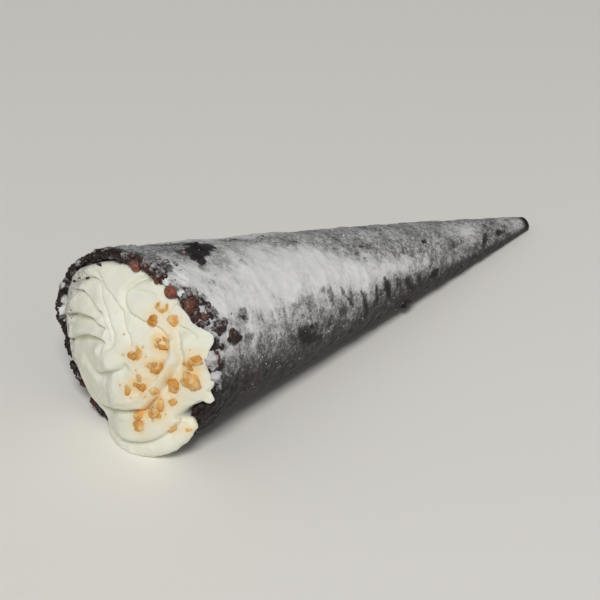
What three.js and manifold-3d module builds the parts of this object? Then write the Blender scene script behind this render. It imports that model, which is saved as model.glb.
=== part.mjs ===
// Cream horn: a conical pastry horn under a dark coating, lying on its side,
// filled through with whipped cream that is piped up and out of the mouth.
// Units are millimetres, +Z is up. X runs along the horn: the mouth looks
// towards -X and the tip towards +X. The origin is on the floor, under the
// middle of the whole.
import * as THREE from 'three';
import { mergeVertices } from 'three/addons/utils/BufferGeometryUtils.js';
import Module from 'manifold-3d';

// ---------------------------------------------------------------- dimensions
const CONE_HALF_ANGLE = 8.827;   // degrees, wall to axis
const MOUTH_FROM_APEX = 150.0;   // the cone's virtual apex to the mouth plane
const TIP_FROM_APEX = 13.5;      // the blunt tip, along the axis
const TIP_ROUND = 0.8;           // how softly the blunt tip is rounded
const TIP_PRESSED = 0.65;        // the tip's top side is pressed down a little
const WALL = 2.5;                // pastry and coating together
const CAVITY_FROM_APEX = 27.0;   // where the hollow begins, along the axis
const BULGE = 0.45;              // how far the baked wall swells between tip and mouth
const RIM_SLANT_UP = 0.105;      // slant of the mouth: forward at the top
const RIM_SLANT_SIDE = 0.129;    // slant of the mouth: forward on the +Y side
const RIM_RAGGED = 0.75;         // torn edge of the mouth, half height
const WRINKLE = 0.16;            // shallow folds of the strip, half height
const FLAT_DEPTH = 0.35;         // flattened underside that the horn rests on
const GAP = 0.3;                 // clearance between the cream and the shell
const CREAM_OFF_FLOOR = 0.15;    // the lowest lobe hangs just clear of the floor

const CREAM_PEAK = 8.6;          // top of the rosette, in front of the mouth plane
const CREAM_CROWN = 1.55;        // power of the rosette's dome
const CREAM_EDGE = 22.0;         // mean radius of the cream's edge
const CREAM_EDGE_SAG = 1.75;     // the edge sags over the rim low on the -Y side
const RIBS = 12;                 // ribs left by the star nozzle
const RIB_DEPTH = 1.15;
const RIB_TWIST = 0.62;          // radians of twist for each e-fold of radius
const ARM_RADIUS = 16.2;         // groove between the rosette and the arm round it
const ARM_GROOVE = 2.1;
const LOBE_RADIUS = 3.1;         // the lobe that slumps out at the bottom
const LOBE_REACH = 5.0;          // its forward reach
const TURNS_HORN = 60;           // facets round the shell
const TURNS_CREAM = 72;          // facets round the cream

// ------------------------------------------------------------- frame of the cone
const theta = THREE.MathUtils.degToRad(CONE_HALF_ANGLE);
const APEX = new THREE.Vector3(75, 0, 0);
const AXIS = new THREE.Vector3(-Math.cos(theta), 0, Math.sin(theta));  // towards the mouth
const SIDE = new THREE.Vector3(0, 1, 0);
const UPWARD = new THREE.Vector3(Math.sin(theta), 0, Math.cos(theta));
const MOUTH_RADIUS = MOUTH_FROM_APEX * Math.tan(theta);

// a point at s along the axis, r from it, at the angle phi (0 = +Y, 90 deg = up)
function at(s, r, phi, out = new THREE.Vector3()) {
  return out.copy(APEX)
    .addScaledVector(AXIS, s)
    .addScaledVector(SIDE, r * Math.cos(phi))
    .addScaledVector(UPWARD, r * Math.sin(phi));
}

// -------------------------------------------------------------------- the shell
function rimOffset(phi) {
  const slant = MOUTH_RADIUS * (RIM_SLANT_UP * Math.sin(phi) + RIM_SLANT_SIDE * Math.cos(phi));
  const ragged = 0.5 * Math.sin(5 * phi + 0.6) + 0.32 * Math.sin(9 * phi + 2.1) + 0.18 * Math.sin(16 * phi + 4.0);
  return slant + RIM_RAGGED * ragged;
}

function outerRadius(s, phi) {
  const t = THREE.MathUtils.clamp((s - TIP_FROM_APEX) / (MOUTH_FROM_APEX - TIP_FROM_APEX), 0, 1.05);
  const swell = BULGE * Math.sin(Math.PI * Math.min(t, 1)) * (0.62 + 0.38 * Math.sin(phi));
  const fold = WRINKLE * t * (Math.sin(0.24 * s + 1.3 * Math.sin(phi) + 0.8) * 0.6
    + Math.sin(3 * phi + 0.05 * s + 0.4) * 0.5 + Math.sin(7 * phi - 0.09 * s) * 0.25);
  const pressed = TIP_PRESSED * Math.max(0, Math.sin(phi)) * Math.exp(-Math.max(0, s - TIP_FROM_APEX) / 22);
  return s * Math.tan(theta) + swell + fold - pressed;
}

function innerRadius(s, phi) {
  return Math.max(outerRadius(s, phi) - WALL / Math.cos(theta), 0.2);
}

// profile of the shell as [part, position along it, radius factor]; it runs
// from the tip on the axis out along the wall, over the rim and back inside
const OUTER_STEPS = 15, INNER_STEPS = 10;
function shellGeometry(extra) {
  const rows = [];
  rows.push({ kind: 'tip', k: 0 }, { kind: 'tip', k: 0.62 }, { kind: 'tip', k: 0.93 });
  for (let i = 0; i <= OUTER_STEPS; i++) rows.push({ kind: 'outer', k: i / OUTER_STEPS });
  rows.push({ kind: 'rim', k: 0.2 }, { kind: 'rim', k: 0.5 }, { kind: 'rim', k: 0.8 });
  for (let i = 0; i <= INNER_STEPS; i++) rows.push({ kind: 'inner', k: 1 - i / INNER_STEPS });
  rows.push({ kind: 'end', k: 0 });
  const last = rows.length - 1;
  const profile = rows.map((row, i) => new THREE.Vector2(i === 0 || i === last ? 0 : 1, i));
  const geometry = new THREE.LatheGeometry(profile, TURNS_HORN);
  const position = geometry.attributes.position;
  const p = new THREE.Vector3();
  for (let i = 0; i < position.count; i++) {
    const row = rows[Math.round(position.getY(i))];
    const phi = Math.atan2(position.getZ(i), position.getX(i));
    const mouth = MOUTH_FROM_APEX + rimOffset(phi);
    const rimOut = outerRadius(mouth, phi) - 0.35 + extra;
    const rimIn = innerRadius(mouth, phi) + 0.25 - extra;
    let s, r;
    if (row.kind === 'tip') {
      s = TIP_FROM_APEX - extra + TIP_ROUND * (1 - Math.sqrt(1 - row.k * row.k));
      r = row.k * (outerRadius(TIP_FROM_APEX + TIP_ROUND, phi) + extra);
    } else if (row.kind === 'outer') {
      s = TIP_FROM_APEX + TIP_ROUND + row.k * (mouth - 0.7 - TIP_FROM_APEX - TIP_ROUND);
      r = outerRadius(s, phi) + extra;
    } else if (row.kind === 'rim') {
      s = mouth + extra - 0.45 * (1 - Math.sin(Math.PI * row.k));
      r = rimOut + row.k * (rimIn - rimOut);
    } else if (row.kind === 'inner') {
      s = CAVITY_FROM_APEX - extra + row.k * (mouth - 0.8 - CAVITY_FROM_APEX + extra);
      r = Math.max(innerRadius(s, phi) - extra, 0.15);
    } else {
      s = CAVITY_FROM_APEX - extra - 0.6;
      r = 0;
    }
    at(s, r, phi, p);
    position.setXYZ(i, p.x, p.y, p.z);
  }
  return geometry;
}

// -------------------------------------------------------------------- the cream
// edge of the cream: how far out and how far forward it lies at each angle
function creamEdge(phi) {
  const low = Math.max(0, Math.cos(phi - THREE.MathUtils.degToRad(225)));   // 1 low on the -Y side
  const radius = CREAM_EDGE - 1.0 + (CREAM_EDGE_SAG + 1.7) * Math.pow(low, 1.2)
    + 0.25 * Math.sin(6 * phi + 1.0);
  const bottom = Math.max(0, Math.cos(phi - THREE.MathUtils.degToRad(262)));
  const right = Math.max(0, Math.cos(phi - THREE.MathUtils.degToRad(185)));
  const lowFar = Math.max(0, Math.cos(phi - THREE.MathUtils.degToRad(308)));
  const level = 1.9 + 1.6 * Math.pow(bottom, 4) - 3.6 * Math.pow(right, 1.5) - 1.6 * Math.pow(lowFar, 2);
  const crown = CREAM_CROWN - 0.4 * lowFar;
  return { radius, level, crown };
}

// rosette relief at a place in the mouth plane: ribs with sharp grooves that
// twist out of the peak, and one arm that runs round them on the -Y side
function creamRelief(r, phi) {
  const away = THREE.MathUtils.smoothstep(r, 1.2, 7.0);
  const twist = phi + RIB_TWIST * Math.log(Math.max(r, 1.0) / 3.0);
  const rib = Math.pow(Math.abs(Math.cos(RIBS * twist / 2)), 0.75) - 0.7;
  const onArm = THREE.MathUtils.smoothstep(Math.cos(phi - THREE.MathUtils.degToRad(200)), -0.25, 0.35);
  const inner = 1 - onArm * THREE.MathUtils.smoothstep(r, ARM_RADIUS - 2.5, ARM_RADIUS);
  const groove = -ARM_GROOVE * onArm * Math.exp(-Math.abs(r - ARM_RADIUS) / 1.3);
  return RIB_DEPTH * rib * away * inner + groove;
}

const FRONT_STEPS = 16, DEEP_STEPS = 5;
function rosetteGeometry() {
  const rows = [{ kind: 'deep-end' }];
  for (let i = 0; i <= DEEP_STEPS; i++) rows.push({ kind: 'deep', k: i / DEEP_STEPS });
  rows.push({ kind: 'throat', k: 0 }, { kind: 'throat', k: 0.5 });
  for (let i = FRONT_STEPS; i >= 1; i--) rows.push({ kind: 'front', k: i / FRONT_STEPS });
  rows.push({ kind: 'peak' });
  const last = rows.length - 1;
  const profile = rows.map((row, i) => new THREE.Vector2(i === 0 || i === last ? 0 : 1, i));
  const geometry = new THREE.LatheGeometry(profile, TURNS_CREAM);
  const position = geometry.attributes.position;
  const p = new THREE.Vector3();
  for (let i = 0; i < position.count; i++) {
    const row = rows[Math.round(position.getY(i))];
    const phi = Math.atan2(position.getZ(i), position.getX(i));
    const edge = creamEdge(phi);
    const mouth = MOUTH_FROM_APEX + rimOffset(phi);
    let s, r;
    if (row.kind === 'deep-end') {
      s = CAVITY_FROM_APEX + 2.0; r = 0;
    } else if (row.kind === 'deep') {
      s = CAVITY_FROM_APEX + 2.5 + row.k * (mouth - 6.0 - CAVITY_FROM_APEX - 2.5);
      r = innerRadius(s, phi) - GAP - 0.08;
    } else if (row.kind === 'throat') {
      // from the inside of the wall out to the edge of the rosette
      const inside = innerRadius(mouth - 4, phi) - GAP - 0.08;
      s = THREE.MathUtils.lerp(mouth - 3.2, MOUTH_FROM_APEX + edge.level - 1.9, row.k * 1.5);
      r = THREE.MathUtils.lerp(inside, edge.radius - 0.3, row.k * 1.5);
    } else if (row.kind === 'front') {
      const round = Math.sqrt(Math.max(0, 1 - Math.pow(row.k, 8)));
      r = edge.radius * row.k;
      const dome = edge.level + (CREAM_PEAK - edge.level) * (1 - Math.pow(row.k, edge.crown));
      s = MOUTH_FROM_APEX + dome + creamRelief(r, phi) * round;
    } else {
      s = MOUTH_FROM_APEX + CREAM_PEAK + 0.5; r = 0;
    }
    at(s, r, phi, p);
    position.setXYZ(i, p.x, p.y, p.z);
  }
  return geometry;
}

// a soft spindle of cream bent along a curve: a lathe form whose length follows the curve
function ropeGeometry(curve, radius, ribs, depth) {
  const STEPS = 12, SIDES = 12;
  const profile = [];
  for (let i = 0; i <= STEPS; i++) {
    const t = i / STEPS;
    const taper = Math.pow(Math.sin(Math.PI * Math.min(Math.max(t, 0), 1)), 0.6);
    profile.push(new THREE.Vector2(i === 0 || i === STEPS ? 0 : Math.max(taper, 0.05), t));
  }
  const geometry = new THREE.LatheGeometry(profile, SIDES);
  const position = geometry.attributes.position;
  const p = new THREE.Vector3(), tangent = new THREE.Vector3(), across = new THREE.Vector3(), out = new THREE.Vector3();
  for (let i = 0; i < position.count; i++) {
    const t = THREE.MathUtils.clamp(position.getY(i), 0, 1);
    const x = position.getX(i), z = position.getZ(i);
    const turn = Math.atan2(z, x);
    const r = radius * Math.hypot(x, z) * (1 + depth * Math.cos(ribs * turn + 3 * t));
    curve.getPointAt(t, p);
    curve.getTangentAt(t, tangent);
    across.crossVectors(tangent, AXIS).normalize();
    out.crossVectors(across, tangent).normalize();
    p.addScaledVector(across, r * Math.cos(turn)).addScaledVector(out, r * Math.sin(turn));
    position.setXYZ(i, p.x, p.y, p.z);
  }
  return geometry;
}

// arc of a rope in front of the mouth: from one angle to another, at a radius
// and a forward reach that both change evenly
function mouthArc(from, to, r0, r1, h0, h1) {
  const points = [];
  for (let i = 0; i <= 6; i++) {
    const t = i / 6;
    const phi = THREE.MathUtils.degToRad(THREE.MathUtils.lerp(from, to, t));
    points.push(at(MOUTH_FROM_APEX + THREE.MathUtils.lerp(h0, h1, t), THREE.MathUtils.lerp(r0, r1, t), phi));
  }
  return new THREE.CatmullRomCurve3(points);
}

// ------------------------------------------------------------ joining and cutting
const wasm = await Module();
wasm.setup();

function toSolid(geometry) {
  let g = geometry.clone();
  for (const name of Object.keys(g.attributes)) if (name !== 'position') g.deleteAttribute(name);
  g = mergeVertices(g, 1e-4);
  const index = g.index.array, position = g.attributes.position;
  const triangles = [];
  for (let i = 0; i < index.length; i += 3) {
    const [a, b, c] = [index[i], index[i + 1], index[i + 2]];
    if (a !== b && b !== c && c !== a) triangles.push(a, b, c);
  }
  let volume = 0;
  const A = new THREE.Vector3(), B = new THREE.Vector3(), C = new THREE.Vector3();
  for (let i = 0; i < triangles.length; i += 3) {
    A.fromBufferAttribute(position, triangles[i]);
    B.fromBufferAttribute(position, triangles[i + 1]);
    C.fromBufferAttribute(position, triangles[i + 2]);
    volume += A.dot(B.cross(C));
  }
  if (volume < 0) {
    for (let i = 0; i < triangles.length; i += 3) {
      [triangles[i + 1], triangles[i + 2]] = [triangles[i + 2], triangles[i + 1]];
    }
  }
  return new wasm.Manifold(new wasm.Mesh({
    numProp: 3,
    vertProperties: new Float32Array(position.array),
    triVerts: new Uint32Array(triangles),
  }));
}

function toGeometry(solid) {
  const mesh = solid.getMesh();
  const geometry = new THREE.BufferGeometry();
  const vertices = new Float32Array(mesh.vertProperties.length / mesh.numProp * 3);
  for (let i = 0; i < vertices.length / 3; i++) {
    for (let k = 0; k < 3; k++) vertices[3 * i + k] = mesh.vertProperties[mesh.numProp * i + k];
  }
  geometry.setAttribute('position', new THREE.BufferAttribute(vertices, 3));
  geometry.setIndex(new THREE.BufferAttribute(new Uint32Array(mesh.triVerts), 1));
  geometry.computeVertexNormals();
  return geometry;
}

// everything under a height, as a block to cut with
function under(height) {
  const block = new THREE.BoxGeometry(400, 200, 60);
  block.translate(0, 0, height - 30);
  return toSolid(block);
}

const shell = toSolid(shellGeometry(0)).subtract(under(FLAT_DEPTH));

const arm = ropeGeometry(mouthArc(112, 268, 17.6, 17.8, -1.6, 1.2), 3.3, 3, 0.1);
const lobe = ropeGeometry(mouthArc(196, 280, 20.6, 20.4, -0.6, LOBE_REACH - LOBE_RADIUS * 0.3), LOBE_RADIUS, 3, 0.12);
const filling = toSolid(rosetteGeometry())
  .add(toSolid(arm))
  .add(toSolid(lobe))
  .subtract(toSolid(shellGeometry(GAP)))
  .subtract(under(FLAT_DEPTH + CREAM_OFF_FLOOR));

// ---------------------------------------------------------------------- the part
const coating = new THREE.MeshStandardMaterial({ color: 0x2a211d, roughness: 0.5, metalness: 0 });
const whipped = new THREE.MeshStandardMaterial({ color: 0xebe6d4, roughness: 0.55, metalness: 0 });

const horn = new THREE.Mesh(toGeometry(shell), coating);
horn.name = 'horn';
const cream = new THREE.Mesh(toGeometry(filling), whipped);
cream.name = 'cream';

const lying = new THREE.Group();
lying.add(horn, cream);
const extent = new THREE.Box3().setFromObject(lying, true);
const middle = extent.getCenter(new THREE.Vector3());
lying.position.set(-middle.x, -middle.y, -FLAT_DEPTH);

const part = new THREE.Group();
part.add(lying);
part.updateMatrixWorld(true);

export default part;
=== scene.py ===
import math

import bpy
import numpy as np
from mathutils import Matrix, Vector


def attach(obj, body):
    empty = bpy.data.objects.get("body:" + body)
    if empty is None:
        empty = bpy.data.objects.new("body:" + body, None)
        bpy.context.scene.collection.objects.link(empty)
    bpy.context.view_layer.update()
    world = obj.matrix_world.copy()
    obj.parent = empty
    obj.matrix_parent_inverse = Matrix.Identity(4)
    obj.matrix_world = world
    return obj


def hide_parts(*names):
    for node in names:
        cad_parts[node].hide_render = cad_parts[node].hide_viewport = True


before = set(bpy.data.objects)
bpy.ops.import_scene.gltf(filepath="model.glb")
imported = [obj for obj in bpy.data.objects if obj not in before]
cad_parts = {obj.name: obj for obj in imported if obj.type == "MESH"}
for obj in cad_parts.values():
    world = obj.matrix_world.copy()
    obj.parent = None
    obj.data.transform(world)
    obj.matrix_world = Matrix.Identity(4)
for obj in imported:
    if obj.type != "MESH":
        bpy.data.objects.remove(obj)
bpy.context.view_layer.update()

# ---------------------------------------------------------------------------
# The part's own numbers, in millimetres, as the frame was built from them.
# A cone with its virtual apex at APEX and its axis AXIS towards the mouth;
# SHIFT moves that frame to the shared one.
# ---------------------------------------------------------------------------
THETA = math.radians(8.827)
APEX = np.array([75.0, 0.0, 0.0])
AXIS = np.array([-math.cos(THETA), 0.0, math.sin(THETA)])
SIDE = np.array([0.0, 1.0, 0.0])
UPW = np.array([math.sin(THETA), 0.0, math.cos(THETA)])
SHIFT = np.array([10.277875900, -0.026185036, -0.35])
MOUTH = 150.0
R_MOUTH = MOUTH * math.tan(THETA)
TIP = 13.5
TIP_ROUND = 0.8
TIP_PRESSED = 0.65
WALL = 2.5
CAVITY = 27.0
BULGE = 0.45
SLANT_UP = 0.105
SLANT_SIDE = 0.129
RAGGED = 0.75
WRINKLE = 0.16


def place(P):
    """millimetres of the cone's frame -> metres of the shared frame"""
    return (np.asarray(P) + SHIFT) * 0.001


def cone_point(s, r, phi):
    s, r, phi = np.broadcast_arrays(s, r, phi)
    return (APEX + s[..., None] * AXIS + (r * np.cos(phi))[..., None] * SIDE
            + (r * np.sin(phi))[..., None] * UPW)


def mouth_point(p, q, h):
    """p to the right of the mouth seen from the front, q up, h forward"""
    p, q, h = np.broadcast_arrays(p, q, h)
    return (APEX + (MOUTH + h)[..., None] * AXIS - p[..., None] * SIDE + q[..., None] * UPW)


def smooth(e0, e1, x):
    t = np.clip((x - e0) / (e1 - e0), 0.0, 1.0)
    return t * t * (3 - 2 * t)


def smin(a, b, k):
    h = np.clip(0.5 + 0.5 * (b - a) / k, 0, 1)
    return b + (a - b) * h - k * h * (1 - h)


def smax(a, b, k):
    return -smin(-a, -b, k)


class Noise:
    """smooth gradient noise, about -1 to 1, from a seeded lattice"""
    def __init__(self, seed, n=24):
        rs = np.random.RandomState(seed)
        g = rs.normal(size=(n, n, n, 3))
        self.g = g / np.linalg.norm(g, axis=-1, keepdims=True)
        self.n = n

    def __call__(self, P):
        P = np.asarray(P, float)
        i = np.floor(P).astype(int)
        f = P - i
        w = f * f * f * (f * (f * 6 - 15) + 10)
        out = 0.0
        for dx in (0, 1):
            for dy in (0, 1):
                for dz in (0, 1):
                    g = self.g[(i[..., 0] + dx) % self.n, (i[..., 1] + dy) % self.n, (i[..., 2] + dz) % self.n]
                    d = g[..., 0] * (f[..., 0] - dx) + g[..., 1] * (f[..., 1] - dy) + g[..., 2] * (f[..., 2] - dz)
                    wx = w[..., 0] if dx else 1 - w[..., 0]
                    wy = w[..., 1] if dy else 1 - w[..., 1]
                    wz = w[..., 2] if dz else 1 - w[..., 2]
                    out = out + d * wx * wy * wz
        return out * 1.6

    def fbm(self, P, octaves=4, gain=0.5):
        P = np.asarray(P, float)
        a, total = 1.0, 0.0
        for k in range(octaves):
            total = total + a * self(P * (2.0 ** k) + 7.3 * k)
            a *= gain
        return total


def periodic(table, deg):
    """smooth periodic curve through (angle, value) pairs"""
    a = np.array([t[0] for t in table], float)
    b = np.array([t[1] for t in table], float)
    aa = np.concatenate([a - 360, a, a + 360])
    bb = np.tile(b, 3)
    x = np.mod(deg, 360)
    i = np.clip(np.searchsorted(aa, x, side="right") - 1, 1, len(aa) - 3)
    d = aa[i + 1] - aa[i]
    t = (x - aa[i]) / d
    m0 = (bb[i + 1] - bb[i - 1]) / (aa[i + 1] - aa[i - 1])
    m1 = (bb[i + 2] - bb[i]) / (aa[i + 2] - aa[i])
    return ((2 * t**3 - 3 * t**2 + 1) * bb[i] + (t**3 - 2 * t**2 + t) * d * m0
            + (-2 * t**3 + 3 * t**2) * bb[i + 1] + (t**3 - t**2) * d * m1)


def spline(points, n=60):
    """smooth curve through a few points"""
    P = np.array(points, float)
    if len(P) == 2:
        t = np.linspace(0, 1, n)[:, None]
        return P[0] * (1 - t) + P[1] * t
    E = np.vstack([2 * P[0] - P[1], P, 2 * P[-1] - P[-2]])
    m = len(P) - 1
    u = np.linspace(0, m, n)
    k = np.minimum(u.astype(int), m - 1)
    t = (u - k)[:, None]
    a, b, c, d = E[k], E[k + 1], E[k + 2], E[k + 3]
    return 0.5 * (2 * b + (c - a) * t + (2 * a - 5 * b + 4 * c - d) * t**2 + (3 * b - a - 3 * c + d) * t**3)


def mesh_object(name, verts, faces, smooth_shade=True):
    me = bpy.data.meshes.new(name)
    me.from_pydata([], [], [])
    V = np.asarray(verts, np.float32)
    me.vertices.add(len(V))
    me.vertices.foreach_set("co", V.ravel())
    sizes = np.array([len(f) for f in faces]) if not isinstance(faces, np.ndarray) else np.full(len(faces), faces.shape[1])
    flat = np.concatenate([np.asarray(f) for f in faces]) if not isinstance(faces, np.ndarray) else faces.ravel()
    me.loops.add(len(flat))
    me.loops.foreach_set("vertex_index", flat.astype(np.int32))
    me.polygons.add(len(sizes))
    me.polygons.foreach_set("loop_start", np.concatenate([[0], np.cumsum(sizes)[:-1]]).astype(np.int32))
    me.polygons.foreach_set("loop_total", sizes.astype(np.int32))
    me.update(calc_edges=True)
    me.validate()
    if smooth_shade:
        me.polygons.foreach_set("use_smooth", np.ones(len(me.polygons), bool))
    ob = bpy.data.objects.new(name, me)
    bpy.context.scene.collection.objects.link(ob)
    return ob


def point_attribute(ob, name, values):
    at = ob.data.attributes.new(name, "FLOAT", "POINT")
    at.data.foreach_set("value", np.asarray(values, np.float32))


def vertex_normals(ob):
    n = np.empty(len(ob.data.vertices) * 3, np.float32)
    ob.data.vertices.foreach_get("normal", n)
    return n.reshape(-1, 3)


# ---------------------------------------------------------------------------
# Surface of an implicit form on a regular grid (surface nets)
# ---------------------------------------------------------------------------
def fill_diagonals(F):
    """drops lone points, and fills the few places where two corners of the solid would meet only along an edge"""
    for _ in range(6):
        s = F < 0
        same = np.zeros(F.shape, np.int8)
        for ax in range(3):
            lo = [slice(None)] * 3
            hi = [slice(None)] * 3
            lo[ax] = slice(0, -1)
            hi[ax] = slice(1, None)
            eq = (s[tuple(lo)] == s[tuple(hi)]).astype(np.int8)
            same[tuple(lo)] += eq
            same[tuple(hi)] += eq
        lone = same == 0
        F[lone] = np.where(F[lone] < 0, 0.02, -0.02)
        n = int(lone.sum())
        for a, b in ((0, 1), (0, 2), (1, 2)):
            part = []
            for i in (0, 1):
                for j in (0, 1):
                    s = [slice(None)] * 3
                    s[a] = slice(i, F.shape[a] - 1 + i)
                    s[b] = slice(j, F.shape[b] - 1 + j)
                    part.append(F[tuple(s)])
            s00, s01, s10, s11 = [v < 0 for v in part]
            one = s00 & s11 & ~s01 & ~s10
            two = s01 & s10 & ~s00 & ~s11
            part[1][one] = -0.02
            part[0][two] = -0.02
            n += int(one.sum() + two.sum())
        if n == 0:
            break


def largest_piece(V, Q):
    """leaves out loose bits of a quad mesh"""
    lab = np.arange(len(V))
    E = np.vstack([Q[:, [0, 1]], Q[:, [1, 2]], Q[:, [2, 3]], Q[:, [3, 0]]])
    while True:
        m = np.minimum(lab[E[:, 0]], lab[E[:, 1]])
        new = lab.copy()
        np.minimum.at(new, E[:, 0], m)
        np.minimum.at(new, E[:, 1], m)
        new = new[new]
        if (new == lab).all():
            break
        lab = new
    keep = lab == np.bincount(lab).argmax()
    number = np.cumsum(keep) - 1
    return V[keep], number[Q[keep[Q[:, 0]]]]


def surface_nets(F, origin, step):
    nx, ny, nz = F.shape
    cx, cy, cz = nx - 1, ny - 1, nz - 1
    acc = np.zeros((cx * cy * cz, 3), np.float32)
    cnt = np.zeros(cx * cy * cz, np.float32)
    quads = []
    for ax in range(3):
        lo = [slice(None)] * 3
        hi = [slice(None)] * 3
        lo[ax] = slice(0, -1)
        hi[ax] = slice(1, None)
        A, B = F[tuple(lo)], F[tuple(hi)]
        E = np.argwhere((A < 0) != (B < 0))
        a = A[E[:, 0], E[:, 1], E[:, 2]]
        b = B[E[:, 0], E[:, 1], E[:, 2]]
        pos = E.astype(np.float32)
        pos[:, ax] += a / (a - b)
        o1, o2 = [k for k in range(3) if k != ax]
        cells = []
        ok = np.ones(len(E), bool)
        for d1, d2 in ((0, 0), (-1, 0), (-1, -1), (0, -1)):
            c = E.copy()
            c[:, o1] += d1
            c[:, o2] += d2
            good = ((c >= 0) & (c < np.array([cx, cy, cz]))).all(1)
            idx = (c[:, 0] * cy + c[:, 1]) * cz + c[:, 2]
            np.add.at(acc, idx[good], pos[good])
            np.add.at(cnt, idx[good], 1)
            cells.append(np.where(good, idx, -1))
            ok &= good
        q = np.stack(cells, 1)
        flip = (a < 0)
        if ax == 1:
            flip = ~flip
        q[flip] = q[flip][:, ::-1]
        quads.append(q[ok])
    Q = np.vstack(quads)
    used = np.unique(Q)
    remap = np.full(cx * cy * cz, -1, np.int64)
    remap[used] = np.arange(len(used))
    V = acc[used] / cnt[used][:, None]
    Q = remap[Q][:, ::-1]
    V = V * step + np.asarray(origin, np.float32)
    # relax each vertex a little towards its neighbours, without shrinking
    n = len(V)
    E = np.vstack([Q[:, [0, 1]], Q[:, [1, 2]], Q[:, [2, 3]], Q[:, [3, 0]]])
    E = np.unique(np.sort(E, 1), axis=0)
    deg = np.bincount(E.ravel(), minlength=n).astype(np.float32)[:, None]
    for lam in (0.5, -0.52, 0.5, -0.52):
        S = np.zeros_like(V)
        for k in range(3):
            S[:, k] = (np.bincount(E[:, 0], V[E[:, 1], k], n) + np.bincount(E[:, 1], V[E[:, 0], k], n))
        V = V + lam * (S / deg - V)
    return V, Q


# ---------------------------------------------------------------------------
# The cone's own surfaces (the same laws as the CAD solids)
# ---------------------------------------------------------------------------
def rim_offset(phi):
    slant = R_MOUTH * (SLANT_UP * np.sin(phi) + SLANT_SIDE * np.cos(phi))
    ragged = 0.5 * np.sin(5 * phi + 0.6) + 0.32 * np.sin(9 * phi + 2.1) + 0.18 * np.sin(16 * phi + 4.0)
    return slant + RAGGED * ragged


def notch(phi):
    """where the rim is broken away and the cream spills over it"""
    deg = np.degrees(phi) % 360
    return (1.7 * np.exp(-((deg - 152) / 5.5) ** 2) + 0.5 * np.exp(-((deg - 178) / 4.0) ** 2)
            + 1.3 * np.exp(-((deg - 348) / 8.0) ** 2) + 2.0 * np.exp(-((deg - 310) / 5.5) ** 2)
            + 1.3 * np.exp(-((deg - 331) / 3.5) ** 2))


def outer_radius(s, phi):
    t = np.clip((s - TIP) / (MOUTH - TIP), 0, 1.05)
    swell = BULGE * np.sin(np.pi * np.minimum(t, 1)) * (0.62 + 0.38 * np.sin(phi))
    fold = WRINKLE * t * (np.sin(0.24 * s + 1.3 * np.sin(phi) + 0.8) * 0.6
                          + np.sin(3 * phi + 0.05 * s + 0.4) * 0.5 + np.sin(7 * phi - 0.09 * s) * 0.25)
    pressed = TIP_PRESSED * np.maximum(0, np.sin(phi)) * np.exp(-np.maximum(0, s - TIP) / 22)
    return s * math.tan(THETA) + swell + fold - pressed


# ---------------------------------------------------------------------------
# Camera: long lens, from the front left and above, towards the mouth
# ---------------------------------------------------------------------------
EL, AZ, DIST, FOCAL_PX = math.radians(31.3546), math.radians(-44.4535), 600.0, 2500.13
TARGET = np.array([-20.9562, 0.0, 13.4844])
back = np.array([math.sin(AZ) * math.cos(EL), -math.cos(AZ) * math.cos(EL), math.sin(EL)])
right = np.array([math.cos(AZ), math.sin(AZ), 0.0])
upc = np.cross(back, right)
cam_mm = TARGET + back * DIST
cam_data = bpy.data.cameras.new("camera")
cam_data.sensor_width = 36.0
cam_data.sensor_fit = "HORIZONTAL"
cam_data.lens = FOCAL_PX * 36.0 / 600.0
cam_data.clip_start = 0.01
cam_data.clip_end = 20.0
cam = bpy.data.objects.new("camera", cam_data)
bpy.context.scene.collection.objects.link(cam)
M = Matrix.Identity(4)
cpos = place(cam_mm)
for i in range(3):
    M[i][0], M[i][1], M[i][2], M[i][3] = right[i], upc[i], back[i], cpos[i]
cam.matrix_world = M
bpy.context.scene.camera = cam


# ---------------------------------------------------------------------------
# The cream: a height over the mouth plane with the nozzle's creases, plus the
# lobes that slump over the rim, as one implicit form
# ---------------------------------------------------------------------------
PEAK = 8.6
# the dome over the mouth: its edge's radius and height round the mouth
DOME_R = [(0, 21.0), (30, 21.2), (60, 21.0), (90, 21.0), (110, 21.0), (125, 21.2), (138, 21.7), (144, 22.7),
          (150, 24.8), (155, 24.8), (160, 23.6), (166, 23.5), (171, 23.0), (178, 23.1), (186, 22.8), (194, 22.8),
          (205, 22.8), (214, 23.3), (224, 24.0), (234, 24.5), (246, 24.2), (257, 23.8), (266, 23.3), (276, 22.6),
          (286, 22.3), (300, 22.2), (315, 22.2), (330, 22.0), (345, 21.4)]
# how far the cream reaches, with its torn tongues and the gap
EDGE_R = [(0, 21.2), (8, 21.6), (15, 21.8), (25, 21.8), (34, 22.2), (40, 22.0), (48, 21.2), (56, 20.8), (64, 20.7),
          (75, 20.5), (90, 20.6), (110, 20.8), (120, 20.7), (127, 21.2),
          (133, 21.8), (138, 22.3), (142, 23.0), (146, 24.9), (150, 26.3), (153.5, 26.9), (156, 26.2), (159, 24.9),
          (162, 24.0), (166, 23.2), (171, 22.8), (175, 23.1), (179, 23.6), (182, 23.4), (184, 22.8), (186.5, 24.1),
          (188.5, 25.4), (190.5, 24.6), (193, 22.8), (196, 21.0), (199, 20.0), (203, 19.5), (208, 19.2), (211, 19.5),
          (213.5, 21.5), (216, 23.4), (224, 24.2), (234, 24.5), (246, 24.2), (257, 23.8), (266, 23.4), (274, 23.4),
          (279, 23.2), (282, 22.4), (285, 21.3), (288, 20.8), (293, 21.0), (299, 21.6), (305, 22.2), (312, 22.0),
          (320, 21.0), (326, 21.0), (331, 21.5), (336, 20.9), (345, 20.7)]
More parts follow.
